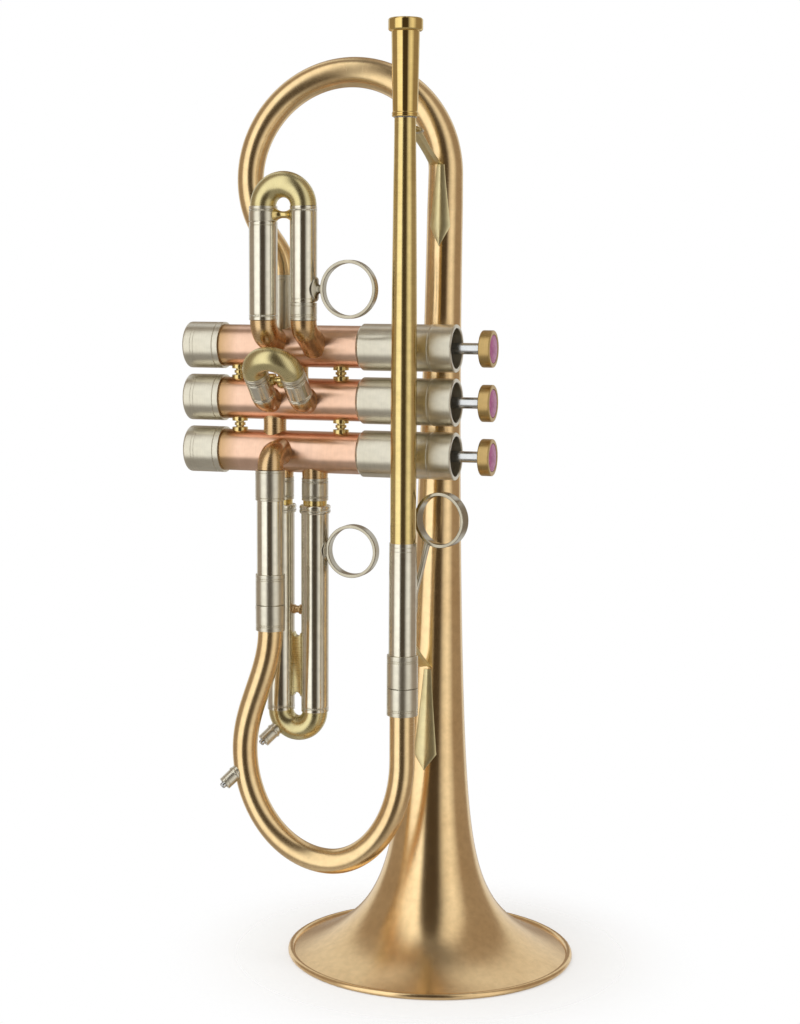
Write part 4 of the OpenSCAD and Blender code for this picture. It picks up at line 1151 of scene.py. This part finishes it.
def water_keys():
    for slide in ("main", "third"):
        barrel = KEY.solids(f"{slide}_key_barrel")[0]
        plunger = KEY.solids(f"{slide}_key_plunger")[0]
        x, y, _ = middle(plunger)
        r = KEY_R
        outline = turned(KEY_BARREL * MM, (0, 0), (0, r), (3.1, r), (3.3, r + 0.4), (4.3, r + 0.4), (4.5, r),
                         *groove(9.8, r, 0.15, 0.3), (END, r), (END, 2.2), (4.6, 2.2), (4.6, 0))
        lathe(f"{slide}_water_key_barrel", outline, NICKEL, f"{slide}_slide",
              KEY.place(x, y, barrel[1][2] - KEY_BARREL * MM), f"{slide}_key_barrel", 64)
        r = half_width(plunger) / MM
        outline = turned(span(plunger), (0, 0), (0, r), (4, r), (4.2, 1.6), (-0.5, 1.6), (END, 1.1), (END, 0))
        lathe(f"{slide}_water_key_plunger", outline, STEEL, f"{slide}_key", seat(KEY, plunger),
              f"{slide}_key_plunger", 48)


# ---- build ----

bell_side = bell()
tail(*bell_side[-1])
leadpipe()
main_slide()
main_crook()
for number in (1, 2, 3):
    valve(number)
    valve_top(number)
    spring(number)
braces()
elbows()
first_slide()
second_slide()
third_slide()
stays(bell_side)
pinky()
water_keys()
for node in ("valve_1_piston", "valve_2_piston", "valve_3_piston", "cup_felts"):
    kept = frame["nodes"][node]
    material = FELT if node == "cup_felts" else MONEL
    kept.data.materials.clear()
    kept.data.materials.append(material)

# ---- stage ----

world = bpy.data.worlds.new("studio")
bpy.context.scene.world = world
world.use_nodes = True
nodes, links = world.node_tree.nodes, world.node_tree.links
nodes.clear()
FACING = math.radians(18.1 - 90)  # the front of the studio, from which its panels are placed


def world_math(operation, a, b=None):
    node = nodes.new("ShaderNodeMath")
    node.operation = operation
    for socket, value in zip(node.inputs, (a, b)):
        if value is None:
            continue
        if isinstance(value, (int, float)):
            socket.default_value = value
        else:
            links.new(value, socket)
    return node.outputs[0]


# Soft panels around the object: the place in each ramp is the turn round the object, from the back
# over the left, the front and the right to the back again, and then the height above the horizon
coordinates = nodes.new("ShaderNodeTexCoord")
split = nodes.new("ShaderNodeSeparateXYZ")
links.new(coordinates.outputs["Generated"], split.inputs[0])
turned_angle = world_math("SUBTRACT", world_math("ARCTAN2", split.outputs[1], split.outputs[0]), FACING)
turn = world_math("FRACT", world_math("ADD", world_math("DIVIDE", turned_angle, 2 * math.pi), 0.5))
rise = world_math("ADD", world_math("DIVIDE", world_math("ARCSINE", split.outputs[2]), math.pi), 0.5)


def at(degrees):
    return 0.5 + degrees / 360


WARM = (0.35, 0.29, 0.23)
DARK = (0.065, 0.049, 0.033)
around = ramp(nodes, links, turn, [
    (at(-168), WARM), (at(-160), (0.8, 0.8, 0.78)), (at(-140), (0.8, 0.8, 0.78)), (at(-130), WARM),
    (at(-78), WARM), (at(-70), (1.2, 1.2, 1.15)), (at(-30), (1.4, 1.4, 1.35)), (at(-21), DARK),
    (at(15), DARK), (at(30), (0.75, 0.73, 0.68)), (at(48), (1.05, 1.03, 0.97)), (at(62), (0.75, 0.72, 0.66)),
    (at(76), WARM), (at(130), WARM), (at(142), (0.8, 0.8, 0.78)), (at(160), (0.8, 0.8, 0.78)),
    (at(168), WARM)])
GREY = (0.35, 0.33, 0.30)
height = ramp(nodes, links, rise, [(0.0, 1.0), (0.26, 1.0), (0.34, 0.0), (0.86, 0.0), (0.93, 1.0)])
ends = ramp(nodes, links, rise, [(0.3, GREY), (0.88, GREY), (0.94, (0.2, 0.19, 0.18))])
blend = mix_colour(nodes, links, height, around, ends)
rays = nodes.new("ShaderNodeLightPath")
WHITE = (1, 1, 1)
seen = mix_colour(nodes, links, rays.outputs["Is Camera Ray"], blend, WHITE)
background = nodes.new("ShaderNodeBackground")
links.new(seen, background.inputs["Color"])
background.inputs["Strength"].default_value = 1.0
output = nodes.new("ShaderNodeOutputWorld")
links.new(background.outputs[0], output.inputs[0])

# A pale floor whose edge fades out
FLOOR_R = 0.6
FLOOR_DROP = 0.2 * MM
FLOOR_FADE = (0.06, 0.15)
FLOOR_ALPHA = 0.5
bpy.ops.mesh.primitive_circle_add(vertices=96, radius=FLOOR_R, fill_type="NGON", location=(0, 0, -FLOOR_DROP))
floor = bpy.context.object
floor.name = "floor"
material, nodes, links, shader = new_material("pale_floor_look")
coordinates = nodes.new("ShaderNodeTexCoord")
noise = mapped_noise(nodes, links, coordinates.outputs["Object"], 300, 3)
grain = ramp(nodes, links, noise, [(0.3, 0.98), (0.7, 1.0)])
links.new(mix_colour(nodes, links, 1.0, (0.98, 0.975, 0.97), grain, "MULTIPLY"), shader.inputs["Base Color"])
shader.inputs["Roughness"].default_value = 0.55
shader.inputs["Specular IOR Level"].default_value = 0.25
length = nodes.new("ShaderNodeVectorMath")
length.operation = "LENGTH"
links.new(coordinates.outputs["Object"], length.inputs[0])
fade = map_range(nodes, links, length.outputs["Value"], *FLOOR_FADE, FLOOR_ALPHA, 0.0)
fade.interpolation_type = "SMOOTHSTEP"
links.new(fade.outputs["Result"], shader.inputs["Alpha"])
floor.data.materials.append(material)

lamp = bpy.data.lights.new("overhead_softbox", "AREA")
lamp.size = 0.9
lamp.energy = 9
light = linked("overhead_softbox", lamp)
light.location = (-0.25, -0.2, 1.3)
light.rotation_euler = (Vector((0, 0, 0.1)) - light.location).to_track_quat("-Z", "Y").to_euler()
light.visible_glossy = False

AZIMUTH, ELEVATION, ROLL = (math.radians(a) for a in (18.113, 6.64, 1.045))
EYE = (0.3132, -1.0232, 0.3623)
camera = bpy.data.cameras.new("camera")
camera.sensor_fit = "VERTICAL"
camera.sensor_height = 36
camera.lens = 72.07
camera.clip_start = 0.05
eye = linked("camera", camera)
level = math.cos(ELEVATION)
back = Vector((math.sin(AZIMUTH) * level, -math.cos(AZIMUTH) * level, math.sin(ELEVATION)))
right = (-back).cross(Vector((0, 0, 1))).normalized()
up = right.cross(-back)
right, up = math.cos(ROLL) * right + math.sin(ROLL) * up, math.cos(ROLL) * up - math.sin(ROLL) * right
eye.matrix_world = Matrix.Translation(EYE) @ Matrix((right, up, back)).transposed().to_4x4()
bpy.context.scene.camera = eye
bpy.context.scene.view_settings.view_transform = "Standard"
